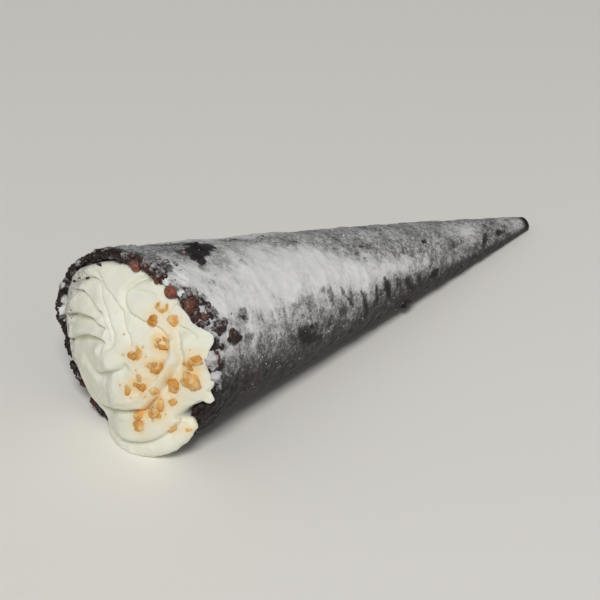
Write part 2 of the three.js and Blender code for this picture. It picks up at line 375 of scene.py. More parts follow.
EDGE_H = [(0, 2.4), (30, 2.7), (60, 2.6), (90, 1.6), (110, 0.9), (125, 0.2), (138, -0.6), (144, -1.0), (150, -2.0),
          (153.5, -2.3), (157, -2.1), (162, -1.7), (170, -2.0), (185, -2.3), (190, -2.4), (196, -2.2), (203, -1.9),
          (210, -1.5), (217, -0.8), (234, 1.0), (246, 2.1), (257, 2.6), (266, 2.3), (276, 1.2), (286, 0.2), (300, 0.2),
          (315, 0.9), (330, 1.7), (345, 2.2)]
# on the far side the cream is drawn up to the top of the rim
EDGE_LIFT = [(0, 0.9), (20, 1.4), (45, 1.5), (65, 1.1), (85, 0.7), (100, 0.4), (125, 0.2), (142, 0.3), (149, 0.9),
             (157, 0.9), (164, 0.6), (175, 0.2), (186, 0.4), (190, 0.4), (195, 0.0), (300, 0.0), (325, 0.1), (345, 0.4)]

# creases left between the piped folds. Points (p, q) on the dome; depth along
# them; for the left and the right side of the drawing direction the reach and
# how round the shoulder is; the lip raised on the left; fade at both ends
CREASES = [
    # fan of folds on the far side, from the top round to the middle
    ([(-10.5, 16.9), (-9.4, 16), (-8.2, 15.1), (-6.7, 14.4), (-5.3, 13.8), (-3.8, 13.2), (-2.5, 12.6), (-1.2, 12.2),
      (0, 11.7), (1, 11.2), (1.7, 10.3), (2.3, 9.4), (3.1, 8.5), (3.9, 7.7), (4.7, 6.8), (5.3, 5.8), (5.8, 4.8), (6.1, 4)],
     [0.4, 0.9, 1.2, 1.3, 1.2, 0.9], (0.9, 1), (2.2, 0.4), 0.25, (0.1, 0.2)),
    ([(-18.1, 9.6), (-16.4, 10.8), (-14.9, 12), (-13.1, 13.2), (-11.2, 14.1), (-9.8, 14.3), (-8.6, 14.2), (-7.6, 13.6),
      (-6.9, 12.7), (-6.1, 11.9), (-5.1, 11.3), (-4.1, 10.7), (-3.2, 10.1), (-2.4, 9.3), (-1.5, 8.4), (-0.8, 7.6),
      (0, 6.8), (0.7, 6), (1.1, 5), (1.3, 3.9), (0.9, 3), (0.1, 2.2), (-0.9, 1.5)],
     [1.2, 1.5, 1.2, 1.0, 1.1, 1.2, 1.1], (0.9, 1), (1.6, 0.5), 0.25, (0.06, 0.08)),
    ([(-18.2, 8.5), (-16.1, 9.2), (-14.1, 9.8), (-12.4, 10), (-10.8, 9.8), (-9.2, 9.5), (-7.9, 9.3), (-6.8, 9),
      (-5.9, 8.7), (-4.9, 8.8), (-4.1, 8.6), (-3.5, 7.9), (-2.8, 7.2), (-2, 6.6), (-1.2, 6), (-0.6, 5.2), (-0.1, 4.3),
      (0.1, 3.3)],
     [1.0, 1.6, 1.9, 1.8, 1.5, 1.4, 1.3], (0.75, 1), (3.6, 0.0), 0.35, (0.05, 0.15)),
    ([(-19.6, 0.9), (-18.5, 1.7), (-15.7, 3.4), (-13, 4.5), (-10.5, 5.3), (-8.6, 5.8), (-7, 6), (-5.8, 5.8), (-4.3, 5.7),
      (-2.9, 5.7), (-1.6, 5.6)],
     [1.4, 2.1, 2.4, 2.1, 1.4], (0.75, 1), (4.0, 0.0), 0.45, (0.05, 0.15)),
    ([(-19, -5.2), (-18, -4.5), (-15.6, -2.7), (-13.3, -1.2), (-10.6, 0.4), (-8, 1.6), (-6.1, 2.3), (-4.5, 2.7), (-3, 3),
      (-1.7, 3.2), (-0.6, 2.9)],
     [1.4, 2.2, 2.4, 2.2, 1.2], (0.75, 1), (3.6, 0.0), 0.45, (0.05, 0.15)),
    ([(-9.6, -3.2), (-8.6, -4.4), (-7.2, -5.6), (-5.6, -6.5), (-4.2, -6.4), (-2.7, -5.5), (0, -3.8), (1.8, -2.7),
      (3.2, -1.9), (4, -1.1), (4.8, 0.1), (5.3, 1)],
     [0.6, 1.1, 1.7, 2.0, 2.0, 1.5, 0.8], (0.9, 0.9), (3.6, 0.0), 0.3, (0.2, 0.15)),
    # the fold under the rosette, which runs on as the arm's inner edge
    ([(-8.7, -17.8), (-7.2, -17.3), (-5.2, -16.6), (-2.9, -15.7), (0.2, -14.1), (2.6, -13), (4.5, -12.4), (6.1, -11.6),
      (7.7, -10.9), (8.9, -10.4), (9.9, -9.6), (10.8, -8.3), (11.6, -6.9), (12.3, -5.7), (13.2, -4.1), (13.9, -2.5),
      (14.6, -0.9), (15.3, 0.8), (15.9, 2.5), (16.5, 4.4), (16.6, 6.1), (16.4, 7.7), (16, 9.1), (15.2, 10.1),
      (14.3, 10.9), (13.5, 11.2)],
     [1.4, 2.3, 2.7, 2.6, 2.0, 1.5, 1.5, 1.6, 1.5, 1.0], (0.75, 1), (2.1, 0.1), 0.3, (0.05, 0.1)),
    # the rosette's outer edge, from the rim round to the bottom
    ([(5.3, 20.4), (4.9, 19.7), (3.7, 19.3), (2.7, 18.6), (1.9, 17.8), (1.1, 16.8), (0.5, 16), (0.2, 15.2), (0.4, 14.3),
      (0.9, 13.4), (1.8, 12.6), (2.9, 12), (4.1, 11.5), (5.3, 11.2), (6.5, 10.9), (7.9, 10.8), (9.3, 10.6), (10.5, 10.4),
      (11.6, 9.9), (12.6, 9.3), (13.3, 8.5), (13.8, 7.5), (13.9, 6.3), (13.9, 5.1), (13.7, 3.9), (13.2, 2.2),
      (12.9, 0.9), (12.2, -0.6), (11.4, -2.2), (10.6, -3.7), (9.8, -5.2), (9, -6.4), (7.9, -7.6), (6.3, -8.8), (4.6, -9.9)],
     [1.5, 1.8, 1.6, 1.3, 1.0, 1.1, 1.3, 1.4, 1.3, 0.8], (0.8, 1), (1.9, 0.2), 0.25, (0.01, 0.1)),
    ([(0.7, 15.8), (2.3, 16.3), (3.8, 16.6), (5.3, 16.8), (6.8, 16.9), (8.3, 16.9)],
     [0.5, 0.6, 0.6, 0.5], (1.0, 0), (1.8, 0), 0.1, (0.2, 0.2)),
    ([(13.8, 11.9), (14.9, 11.9), (16.2, 11.9), (17.3, 11.9), (18.5, 11.7), (19.5, 11.3), (20.2, 10.6)],
     [0.6, 0.9, 0.8, 0.6], (0.8, 0.5), (2.2, 0), 0.2, (0.15, 0.15)),
    ([(12.2, 16.9), (12, 16), (11.8, 15.1)], [0.4, 0.5, 0.4], (0.7, 0.5), (1.2, 0.3), 0.05, (0.2, 0.3)),
    # a crease beside the lowest fold's upper edge
    ([(-10.8, -16.7), (-8.3, -16), (-5.7, -13.9), (-3.1, -12.1), (-0.5, -10.9)],
     [0.2, 0.4, 0.3], (0.9, 0.5), (1.8, 0.2), 0.05, (0.25, 0.3)),
]
# the edge over the lowest lobe: beyond it (to the right of the drawing direction)
# the upper mass ends and the lobe comes out from under it
CLIFF = [(-6.5, -23.0), (-1.2, -21.2), (3.0, -20.2), (6.5, -19.4), (8.8, -18.7), (10.7, -17.8), (13.1, -16.0), (15.1, -13.9),
         (16.3, -12.0), (17.6, -9.7), (18.4, -8.0), (19.2, -6.6), (20.2, -5.1), (21.7, -3.5)]
CLIFF_UP = [0.9, 1.1, 1.3, 1.4, 1.4, 1.4, 1.3, 1.1, 0.9, 0.7, 0.4, 0.2, 0.0, 0.0]
RIDGES = [
    # narrow cord between the rosette and the arm
    ([(13.7, 11.0), (14.9, 9.6), (15.6, 8.0), (15.8, 6.2), (15.6, 4.5), (15.0, 2.7), (14.2, 0.9), (13.2, -1.0),
      (12.1, -2.6), (11.0, -4.1), (9.8, -5.6), (8.6, -7.0), (7.0, -8.2), (4.6, -9.6), (1.6, -11.0), (-1.6, -12.6)], 0.85, 0.95),
    # the broad outer arm
    ([(15.2, 13.6), (18.0, 10.2), (19.4, 6.4), (19.8, 2.6), (18.9, -2.7), (16.7, -7.4), (13.3, -12.5), (8.9, -16.6),
      (4.1, -18.4), (-1.5, -19.2)], 0.75, 2.6),
]
BLOBS = [(-3.9, 0.4, 0.85, 1.25), (0.8, -0.9, 0.7, 2.2), (-2.6, -1.6, 0.35, 1.8), (-11.0, -7.0, 0.4, 2.2), (4.8, 14.6, 0.55, 2.8),
         (2.0, -8.0, 0.5, 2.3), (-12.5, 7.0, 0.35, 2.4), (-13.0, 1.6, 0.3, 2.0), (17.8, 8.6, 0.45, 2.2), (-16.4, 6.4, 0.55, 2.0)]
LOBES = [
    # points (p, q, h), radius at each
    ([(18.1, -11.7, -1.9), (16.6, -14.5, -1.2), (14.2, -17.1, -0.3), (11.0, -19.3, 0.5), (7.5, -21.0, 1.2),
      (4.5, -22.0, 1.7), (1.6, -22.3, 1.9), (-0.8, -22.2, 1.8), (-2.6, -22.0, 1.5), (-4.2, -21.4, 1.0)],
     [1.9, 2.3, 2.65, 2.85, 2.9, 2.95, 2.35, 1.85, 1.3, 0.6]),
]

noise_a, noise_b, noise_c = Noise(11), Noise(23), Noise(37)


def base_height(p, q):
    r = np.hypot(p, q)
    deg = np.degrees(np.arctan2(q, -p))
    edge_r = periodic(DOME_R, deg)
    edge_h = periodic(EDGE_H, deg)
    low_far = np.maximum(0, np.cos(np.radians(deg - 308)))
    H = edge_h + (PEAK - edge_h) * (1 - np.clip(r / edge_r, 0, 1.25) ** (1.5 - 0.3 * low_far))
    H = H + periodic(EDGE_LIFT, deg) * smooth(16.5, 21.5, r)
    return H, edge_r, edge_h


def nearest(p, q, C):
    """distance to a polyline, signed side, and place along it"""
    T = np.gradient(C, axis=0)
    T /= np.linalg.norm(T, axis=1, keepdims=True)
    best = np.full(p.shape, 1e9)
    side = np.zeros_like(p)
    along = np.zeros_like(p)
    for k in range(len(C)):
        dx, dy = p - C[k, 0], q - C[k, 1]
        d2 = dx * dx + dy * dy
        m = d2 < best
        best = np.where(m, d2, best)
        side = np.where(m, T[k, 0] * dy - T[k, 1] * dx, side)
        along = np.where(m, k / (len(C) - 1), along)
    return np.sqrt(best), side, along


def cream_height(p, q):
    H, edge_r, edge_h = base_height(p, q)
    dent = np.zeros_like(H)
    lift = np.zeros_like(H)
    for pts, depths, (wl, sl), (wr, sr), lip, (f0, f1) in CREASES:
        d, side, along = nearest(p, q, spline(pts, 130))
        fade = smooth(0, f0, along) * smooth(0, f1, 1 - along)
        depth = np.interp(along, np.linspace(0, 1, len(depths)), depths) * fade
        left = side > 0
        w = np.where(left, wl, wr)
        soft = np.where(left, sl, sr)
        t = np.clip(d / w, 0, 1)
        pillow = 1 - np.sqrt(np.maximum(1 - (1 - t) ** 2, 0))
        ramp = (1 - t) ** 1.5
        dent = np.maximum(dent, depth * (soft * pillow + (1 - soft) * ramp))
        x = d / (wl * 1.6)
        lift += np.where(left, lip * fade * x * np.exp(1 - x), 0)
    d, side, along = nearest(p, q, spline(CLIFF, 150))
    over = smooth(-0.10, 0.55, np.where(side > 0, -d, d)) * smooth(0, 0.03, along) * smooth(0, 0.10, 1 - along)
    up = np.interp(along, np.linspace(0, 1, len(CLIFF_UP)), CLIFF_UP)
    lift += up * (np.exp(-(d / 2.7) ** 2) - 0.55 * np.exp(-d / 0.6)) * (side > 0)
    dent = dent + 4.2 * over
    for pts, height, sigma in RIDGES:
        d, side, along = nearest(p, q, spline(pts, 110))
        lift += height * np.exp(-(d / sigma) ** 2) * smooth(0, 0.12, along) * smooth(0, 0.12, 1 - along)
    for p0, q0, height, sigma in BLOBS:
        lift += height * np.exp(-((p - p0) ** 2 + (q - q0) ** 2) / sigma ** 2)
    # fine lines that the nozzle's teeth drag along the folds
    ang = np.arctan2(q - 2.5, p - 0.6)
    rr = np.hypot(p - 0.6, q - 2.5)
    twist = ang - 0.5 * np.log(np.maximum(rr, 0.8))
    P3 = np.stack([np.cos(twist) * 4.6, np.sin(twist) * 4.6, rr * 0.10], -1)
    lines = noise_a(P3) * 0.14 + noise_b(P3 * 2.3) * 0.09
    lines *= smooth(2.0, 6.0, rr) * (1 - 0.75 * smooth(12, 16, np.hypot(p - 1, q) * (p > -6)))
    P2 = np.stack([p * 0.22, q * 0.22, np.zeros_like(p)], -1)
    lines += noise_c(P2) * 0.22
    return H - dent + lift + lines, edge_r, edge_h


def build_cream():
    step = 0.232
    lo, hi = -26.4, 26.4
    n = int((hi - lo) / step) + 1
    ax = lo + step * np.arange(n)
    h0, h1 = -9.0, 11.6
    nh = int((h1 - h0) / step) + 1
    ah = (h0 + step * np.arange(nh)).astype(np.float32)
    p, q = np.meshgrid(ax, ax, indexing="ij")
    H, edge_r, edge_h = cream_height(p, q)
    gx, gy = np.gradient(H, step)
    slope = 1 / np.sqrt(1 + np.minimum(gx * gx + gy * gy, 9.0))
    r = np.hypot(p, q)
    phi = np.arctan2(q, -p)
    rim = rim_offset(phi) - notch(phi)
    r_in = outer_radius(MOUTH + rim - 2.0, phi) - WALL / math.cos(THETA) + 0.18
    wob = noise_b(np.stack([p * 0.55, q * 0.55, 0 * p + 3.3], -1)) * 0.3
    edge_r = periodic(EDGE_R, np.degrees(phi))
    r_out = edge_r + wob * smooth(21.3, 22.3, edge_r)
    soft_edge = 0.95 + 1.9 * smooth(50, 25, np.abs((np.degrees(phi) + 180 - 345 + 720) % 360 - 180))
    f = np.empty((n, n, nh), np.float32)
    for k in range(nh):
        h = ah[k]
        top = (h - H) * slope
        t = smooth(0.0, 0.7, h - (rim + 0.05))
        limit = np.where(r_out > r_in, r_in + (r_out - r_in) * t, np.minimum(r_in, r_out))
        limit = limit + np.minimum(0, h) * math.tan(THETA)
        wall = r - limit
        f[:, :, k] = smax(top, wall, soft_edge)
    # lobes
    X = [ax, ax, ah]
    for pts, radii in LOBES:
        C = spline(pts, 46)
        R = np.interp(np.linspace(0, 1, len(C)), np.linspace(0, 1, len(radii)), radii)
        lo3, hi3 = C.min(0) - 4.6, C.max(0) + 4.6
        sl = [slice(max(0, int((lo3[a] - X[a][0]) / step)), min(len(X[a]), int((hi3[a] - X[a][0]) / step) + 1)) for a in range(3)]
        gp, gq, gh = np.meshgrid(X[0][sl[0]], X[1][sl[1]], X[2][sl[2]], indexing="ij")
        best = np.full(gp.shape, 1e9, np.float32)
        for k in range(len(C)):
            d = np.sqrt((gp - C[k, 0]) ** 2 + (gq - C[k, 1]) ** 2 + ((gh - C[k, 2]) / 0.78) ** 2) - R[k]
            best = np.minimum(best, d.astype(np.float32))
        G = np.stack([gp, gq, gh * 0.4], -1)
        best = best + noise_a(G * 0.62) * 0.26 * smooth(20.0, 23.5, np.hypot(gp, gq))
        sub = f[sl[0], sl[1], sl[2]]
        f[sl[0], sl[1], sl[2]] = smin(sub, best, 0.25)
    # nothing goes through the horn's wall below its rim, and nothing under the floor
    floor_z = 0.35 + 0.12
    for k in range(nh):
        h = ah[k]
        wall_in = r - (r_in + h * math.tan(THETA))
        inside_wall = np.minimum(wall_in, (rim + 0.1) - h)
        f[:, :, k] = np.maximum(f[:, :, k], np.where(h < rim + 0.1, inside_wall, -9))
        z = (MOUTH + h) * math.sin(THETA) + q * math.cos(THETA)
        f[:, :, k] = smax(f[:, :, k], floor_z - z, 0.3)
    f[:, :, 0] = 1.0
    f[:, :, -1] = 1.0
    fill_diagonals(f)
    V, Q = largest_piece(*surface_nets(f, (lo, lo, h0), step))
    # place in the shared frame
    P = V.astype(float)
    world = mouth_point(P[:, 0], P[:, 1], P[:, 2])
    ob = mesh_object("whipped_cream", place(world), Q)
    return ob, (ax, H)


def flip_if_inside_out(ob):
    me = ob.data
    me.calc_loop_triangles()
    V = np.empty(len(me.vertices) * 3, np.float32)
    me.vertices.foreach_get("co", V)
    V = V.reshape(-1, 3).astype(float)
    T = np.empty(len(me.loop_triangles) * 3, np.int32)
    me.loop_triangles.foreach_get("vertices", T)
    T = T.reshape(-1, 3)
    vol = np.einsum("ij,ij->i", V[T[:, 0]], np.cross(V[T[:, 1]], V[T[:, 2]])).sum()
    if vol < 0:
        me.flip_normals()
        me.update()
    return vol


cream, (grid_ax, grid_H) = build_cream()
flip_if_inside_out(cream)

# plug of cream that fills the horn behind the mouth, joined into one body
def plug():
    seg = 72
    rows = []
    s_vals = np.concatenate([[CAVITY + 2.5], np.linspace(CAVITY + 4, MOUTH - 7.2, 14)])
    phi = np.linspace(0, 2 * np.pi, seg, endpoint=False)
    V = [cone_point(np.array([CAVITY + 2.2]), np.array([0.0]), np.array([0.0]))]
    for s in s_vals:
        r = outer_radius(s, phi) - WALL / math.cos(THETA) - 0.3 - 0.4 * float(smooth(MOUTH - 30, MOUTH - 12, s))
        V.append(cone_point(np.full(seg, s), np.maximum(r, 0.3), phi))
    V.append(cone_point(np.array([MOUTH - 7.2]), np.array([0.0]), np.array([0.0])))
    P = np.vstack(V)
    F = []
    m = len(s_vals)
    for j in range(seg):
        k = (j + 1) % seg
        F.append([0, 1 + k, 1 + j])
        F.append([1 + (m - 1) * seg + j, 1 + (m - 1) * seg + k, 1 + m * seg])
        for i in range(m - 1):
            a, b = 1 + i * seg + j, 1 + i * seg + k
            F.append([a, b, b + seg, a + seg])
    ob = mesh_object("plug", place(P), F)
    flip_if_inside_out(ob)
    return ob


def union(a, b):
    mod = a.modifiers.new("join", "BOOLEAN")
    mod.operation = "UNION"
    mod.object = b
    mod.solver = "MANIFOLD"
    dg = bpy.context.evaluated_depsgraph_get()
    me = bpy.data.meshes.new_from_object(a.evaluated_get(dg))
    a.modifiers.clear()
    if len(me.vertices) > len(a.data.vertices) * 0.5:
        old = a.data
        a.data = me
        me.name = old.name + "_whole"
    bpy.data.objects.remove(b)


union(cream, plug())
cream.data.polygons.foreach_set("use_smooth", np.ones(len(cream.data.polygons), bool))

# slight graininess of whipped cream, as real relief
V = np.empty(len(cream.data.vertices) * 3, np.float32)
cream.data.vertices.foreach_get("co", V)
V = V.reshape(-1, 3).astype(float)
N = vertex_normals(cream)
mm = V * 1000
g = noise_a.fbm(mm * 1.1, 3) * 0.035 + noise_b.fbm(mm * 0.45, 2) * 0.06
V = V + N * (g[:, None] * 0.001)
cream.data.vertices.foreach_set("co", V.astype(np.float32).ravel())
cream.data.update()


# ---------------------------------------------------------------------------
# The horn
# ---------------------------------------------------------------------------
def bump(s, phi_deg, s0, p0, ds, dp):
    d = (phi_deg - p0 + 180) % 360 - 180
    return np.exp(-((s - s0) / ds) ** 2 - (d / dp) ** 2)


# places where the sugar is missing (negative: share wiped off) or thicker:
# s, angle, half sizes, amount
PATCHES = [
    (131.2, 89, 3.7, 7.5, -0.94), (134.6, 94, 3.4, 8.5, -0.94), (137.2, 102, 2.0, 6, -0.93), (132.4, 83, 3.0, 5, -0.93), (139.0, 93, 1.6, 6, -0.6), (138.0, 110, 1.3, 4, -0.5),
    (126.0, 112.5, 1.6, 4, -0.35), (139.4, 122, 1.2, 2.5, -0.4), (134.2, 146, 1.7, 5, -0.6), (143.0, 148.6, 2.4, 5, -0.95),
    (139.0, 156.4, 2.3, 5.5, -0.92), (134.0, 161, 2.0, 4, -0.5), (147.5, 125.5, 2.6, 5, -0.7), (145.4, 131, 2.2, 4, -0.5),
    (143.2, 140.2, 1.8, 4, -0.8), (147.2, 141, 2.0, 5, -0.6), (146.3, 157, 1.8, 4, -0.9), (149.0, 105, 2.2, 5, -0.8),
    (146.0, 172, 2.0, 5, -0.4), (147.0, 184, 2.4, 6, -0.7), (111.8, 176, 4.4, 8, -0.60), (102.6, 153, 1.1, 6, -0.5),
    (95.0, 162, 1.1, 8, -0.5), (116.4, 153, 2.2, 5, -0.35), (104.5, 147, 1.3, 3, -0.4), (89.5, 170, 1.0, 9, -0.5),
    (83.0, 171, 1.2, 8, -0.5), (79.5, 167, 1.0, 7, -0.45), (75.0, 168, 1.0, 7, -0.45), (71.5, 170, 1.2, 6, -0.45),
    (66.0, 172, 1.0, 7, -0.45), (59.5, 178, 2.0, 8, -0.6), (60.8, 126, 1.2, 4, -0.75), (49.0, 142, 1.8, 7, -0.55),
    (45.5, 140, 2.0, 6, -0.3), (29.2, 152, 1.6, 12, -0.8), (33.2, 117, 1.3, 8, -0.75), (35.8, 151, 1.6, 13, -0.8),
    (36.6, 168, 1.3, 9, -0.6), (29.4, 109, 1.0, 7, -0.6), (25.5, 136, 0.8, 6, -0.45), (26.8, 152, 1.0, 8, -0.55),
    (24.8, 169, 0.9, 9, -0.5), (84.0, 116.5, 0.7, 3, -0.45), (87.0, 123.5, 0.8, 3, -0.45), (85.5, 131.5, 0.7, 3.4, -0.45),
    (60.5, 156, 0.9, 6, -0.45), (50.8, 145.5, 1.1, 6, -0.55), (70.5, 134.5, 0.7, 4, -0.4), (97.8, 172.2, 1.2, 5, -0.45),
    (22.5, 104, 1.6, 5, -0.6), (52.5, 111, 2.0, 4, -0.3), (70.0, 117, 2.0, 4, -0.3), (86.5, 113, 2.4, 4, -0.3),
    (105.5, 98, 3.0, 4, -0.3), (120.0, 78, 3.5, 5, -0.5), (113.0, 84, 2.4, 5, -0.3), (137.0, 76, 5.0, 4, -0.5),
    (116.5, 96, 2.6, 5, 0.30), (119.8, 90, 3.0, 6, 0.16), (145.0, 112, 3.4, 7, 0.34), (147.6, 117, 2.0, 3.4, 0.45),
    (141.0, 112, 4.0, 9, 0.08), (131.5, 111, 4.0, 6, -0.22), (57.0, 156, 5.0, 9, -0.26), (43.0, 162, 5.0, 10, -0.28), (42.5, 122, 8, 18, 0.22), (19.8, 138, 2.6, 24, 0.24), (22.0, 92, 3.0, 8, 0.10),
    (140.2, 165, 2.0, 4, 0.24), (147.1, 176, 1.5, 3.2, 0.65), (148.0, 148, 1.3, 3.6, 0.55), (144.6, 164, 2.0, 4, 0.30),
    (145.0, 137, 1.6, 3.0, 0.45), (72.0, 150, 6.0, 7, 0.14), (124.0, 156.2, 2.6, 6, 0.10),
    (118.8, 175.5, 2.0, 5, -0.48), (121.8, 176.5, 1.6, 4, -0.32), (104.0, 173.5, 2.6, 5.5, -0.5),
    (111.0, 151.0, 2.6, 6, -0.24), (107.5, 145.5, 2.4, 4.5, -0.2),
    # the side that faces away
    (52.0, 38, 2.0, 8, -0.6), (88.0, 24, 3.0, 7, -0.5), (121.0, 45, 3.4, 9, -0.54), (136.0, 20, 3.0, 8, -0.7),
    (143.0, 55, 3.0, 8, -0.7), (104.0, 30, 2.0, 6, -0.5), (68.0, 20, 1.6, 8, -0.5), (76.0, 34, 1.2, 7, -0.4),
    (40.0, 46, 4.0, 14, 0.2), (128.0, 62, 3.0, 7, 0.2),
]


# dark feathered strokes where the sugar was dragged round the horn:
# places (s, angle), half width in mm, share wiped off
STROKES = [
    ([(98.4, 149.5), (97.2, 156.8), (95.8, 163.5), (94.5, 170.5)], 0.42, 0.66),
    ([(90.8, 160.0), (90.0, 167.2), (89.2, 174.0), (87.8, 186.0)], 0.52, 0.72),
    ([(84.5, 161.5), (84.5, 170.2), (83.8, 181.0)], 0.62, 0.76),
    ([(80.8, 156.0), (80.2, 167.5), (79.0, 181.5)], 0.98, 0.88),
    ([(75.8, 163.0), (75.8, 176.5)], 0.46, 0.62),
    ([(71.8, 168.0), (69.8, 182.0), (66.8, 195.0)], 1.00, 0.78),
    ([(66.8, 171.0), (64.5, 189.5)], 0.62, 0.72),
    ([(63.2, 177.5), (64.2, 188.5)], 0.44, 0.62),
    ([(61.2, 181.0), (58.2, 176.0)], 0.90, 0.76),
    ([(115.6, 170.0), (113.4, 176.5), (110.8, 182.5), (106.6, 185.0)], 1.35, 0.80),
    ([(85.6, 176.0), (84.4, 181.0)], 1.10, 0.60),
    ([(88.8, 179.0), (88.2, 187.0)], 1.00, 0.55),
]


def stroke_share(s, deg, ragged):
    keep = np.ones_like(s)
    for other in (False, True):
        for pts, half, amount in STROKES:
            C = spline(pts, 18)
            if other:                                # the flank that faces away has its own, fainter
                C = np.stack([C[:, 0] - 6.0, 180.0 - C[:, 1]], -1)
                amount = amount * 0.7
            mid = C[:, 1].mean()
            d_ = (deg - mid + 180) % 360 - 180
            sel = (s > C[:, 0].min() - 3) & (s < C[:, 0].max() + 3) & (np.abs(d_) < np.ptp(C[:, 1]) / 2 + 18)
            if not sel.any():
                continue
            ss, dd = s[sel], d_[sel]
            rad = ss * math.tan(THETA) * math.pi / 180
            best = np.full(ss.shape, 9.0)
            at = np.zeros_like(best)
            for k in range(len(C)):
                d = np.hypot(ss - C[k, 0], (dd - (C[k, 1] - mid)) * rad)
                at = np.where(d < best, k / (len(C) - 1), at)
                best = np.minimum(best, d)
            w = half * (0.50 + 0.70 * np.sin(math.pi * np.clip(at, 0.02, 0.98)) ** 0.7) * ragged[sel]
            keep[sel] *= 1 - amount * smooth(1.45, 0.45, best / w)
    return keep


def sugar_cover(s, phi):
    """share of the coating that the sugar hides, 0 to 1, before the fine speckle"""
    deg = np.degrees(phi) % 360
    signed = (deg - 90 + 180) % 360 - 180
    m = 90 + np.abs(signed)                      # dusted from above, so both flanks alike
    side = np.where(signed > 0, 1.0, 0.74)
    veil = 0.29 * smooth(192, 152, m) + 0.07 * smooth(214, 180, m)
    veil = veil * (0.90 + 0.10 * smooth(86, 104, m)) + 0.09 * smooth(140, 112, m) * smooth(122, 100, s)
    veil = veil + 0.04 * smooth(150, 158, m) * smooth(182, 172, m)
    veil = veil + 0.045 * smooth(158, 172, m) * smooth(214, 190, m) * smooth(70, 84, s) * smooth(132, 112, s)
    mid = np.interp(s, [60, 68, 80, 88, 95, 102, 110, 120, 130, 140, 152], [152, 151, 148, 144, 137, 131, 128, 126, 130, 132, 126])
    wide = np.interp(s, [60, 68, 80, 95, 105, 120, 140, 152], [6, 10, 14, 19, 23, 27, 25, 20])
    amp = np.interp(s, [58, 66, 76, 88, 100, 112, 125, 140, 152], [0, 0.16, 0.36, 0.50, 0.60, 0.66, 0.66, 0.58, 0.42])
    wob = noise_b.fbm(np.stack([s * 0.20, phi * 2.6, 0 * s], -1) + 4.4, 3) * 0.34
    x = np.abs(m - mid) / wide + wob
    wedge = np.exp(-0.85 * np.maximum(x, 0) ** 2.6)
    cover = veil + amp * side * wedge
    arc = np.radians(deg) * np.maximum(s * math.tan(THETA), 2.0)
    P = np.stack([s, arc, 0 * s], -1)
    cloud = noise_a.fbm(P * [0.15, 0.15, 0] + 2.7, 4) * 0.30
    streak = noise_b.fbm(P * [0.75, 0.16, 0] + 5.1, 3)
    low = smooth(136, 156, m) * smooth(200, 178, m)
    cover = cover * (1 + cloud + streak * (0.04 + 0.26 * low))
    cover = cover + noise_c.fbm(P * [0.8, 0.8, 0] + 9.2, 3) * 0.07
    ragged = 1 + 0.8 * noise_c.fbm(P * [0.55, 0.55, 0] + 17.0, 2)
    for s0, p0, ds, dp, a in PATCHES:
        b = bump(s, deg, s0, p0, ds, dp)
        if a < 0:
            edge = 0.10 if a < -0.55 else 0.28
            rough = 1 + (ragged - 1) * (0.4 if a < -0.92 else 1.0)
            cover = cover * (1 + a * smooth(0.42 - edge, 0.42 + edge, b * rough))
        else:
            cover = cover + a * b
    cover = cover * stroke_share(s, deg, 1 + 0.45 * (ragged - 1))
    cover = cover * smooth(15.4, 17.6, s)
    return cover


# places round the rim where the sugar runs over its edge: angle, width, how much
BRIDGES = [(114.5, 3.4, 1.0), (124.5, 1.6, 0.9), (142.0, 2.0, 0.8), (147.5, 1.5, 0.7), (174.5, 3.0, 0.9), (86.0, 1.5, 0.5),
           (104, 1.2, 0.4), (70, 2.0, 0.35), (338, 3.0, 0.35)]


def smear(deg):
    """where the sugar is smeared from the rim over to the cream, 0 to 1"""
    d = (deg + 180) % 360 - 180
    return smooth(-9, -1, d) * smooth(17.5, 12, d)


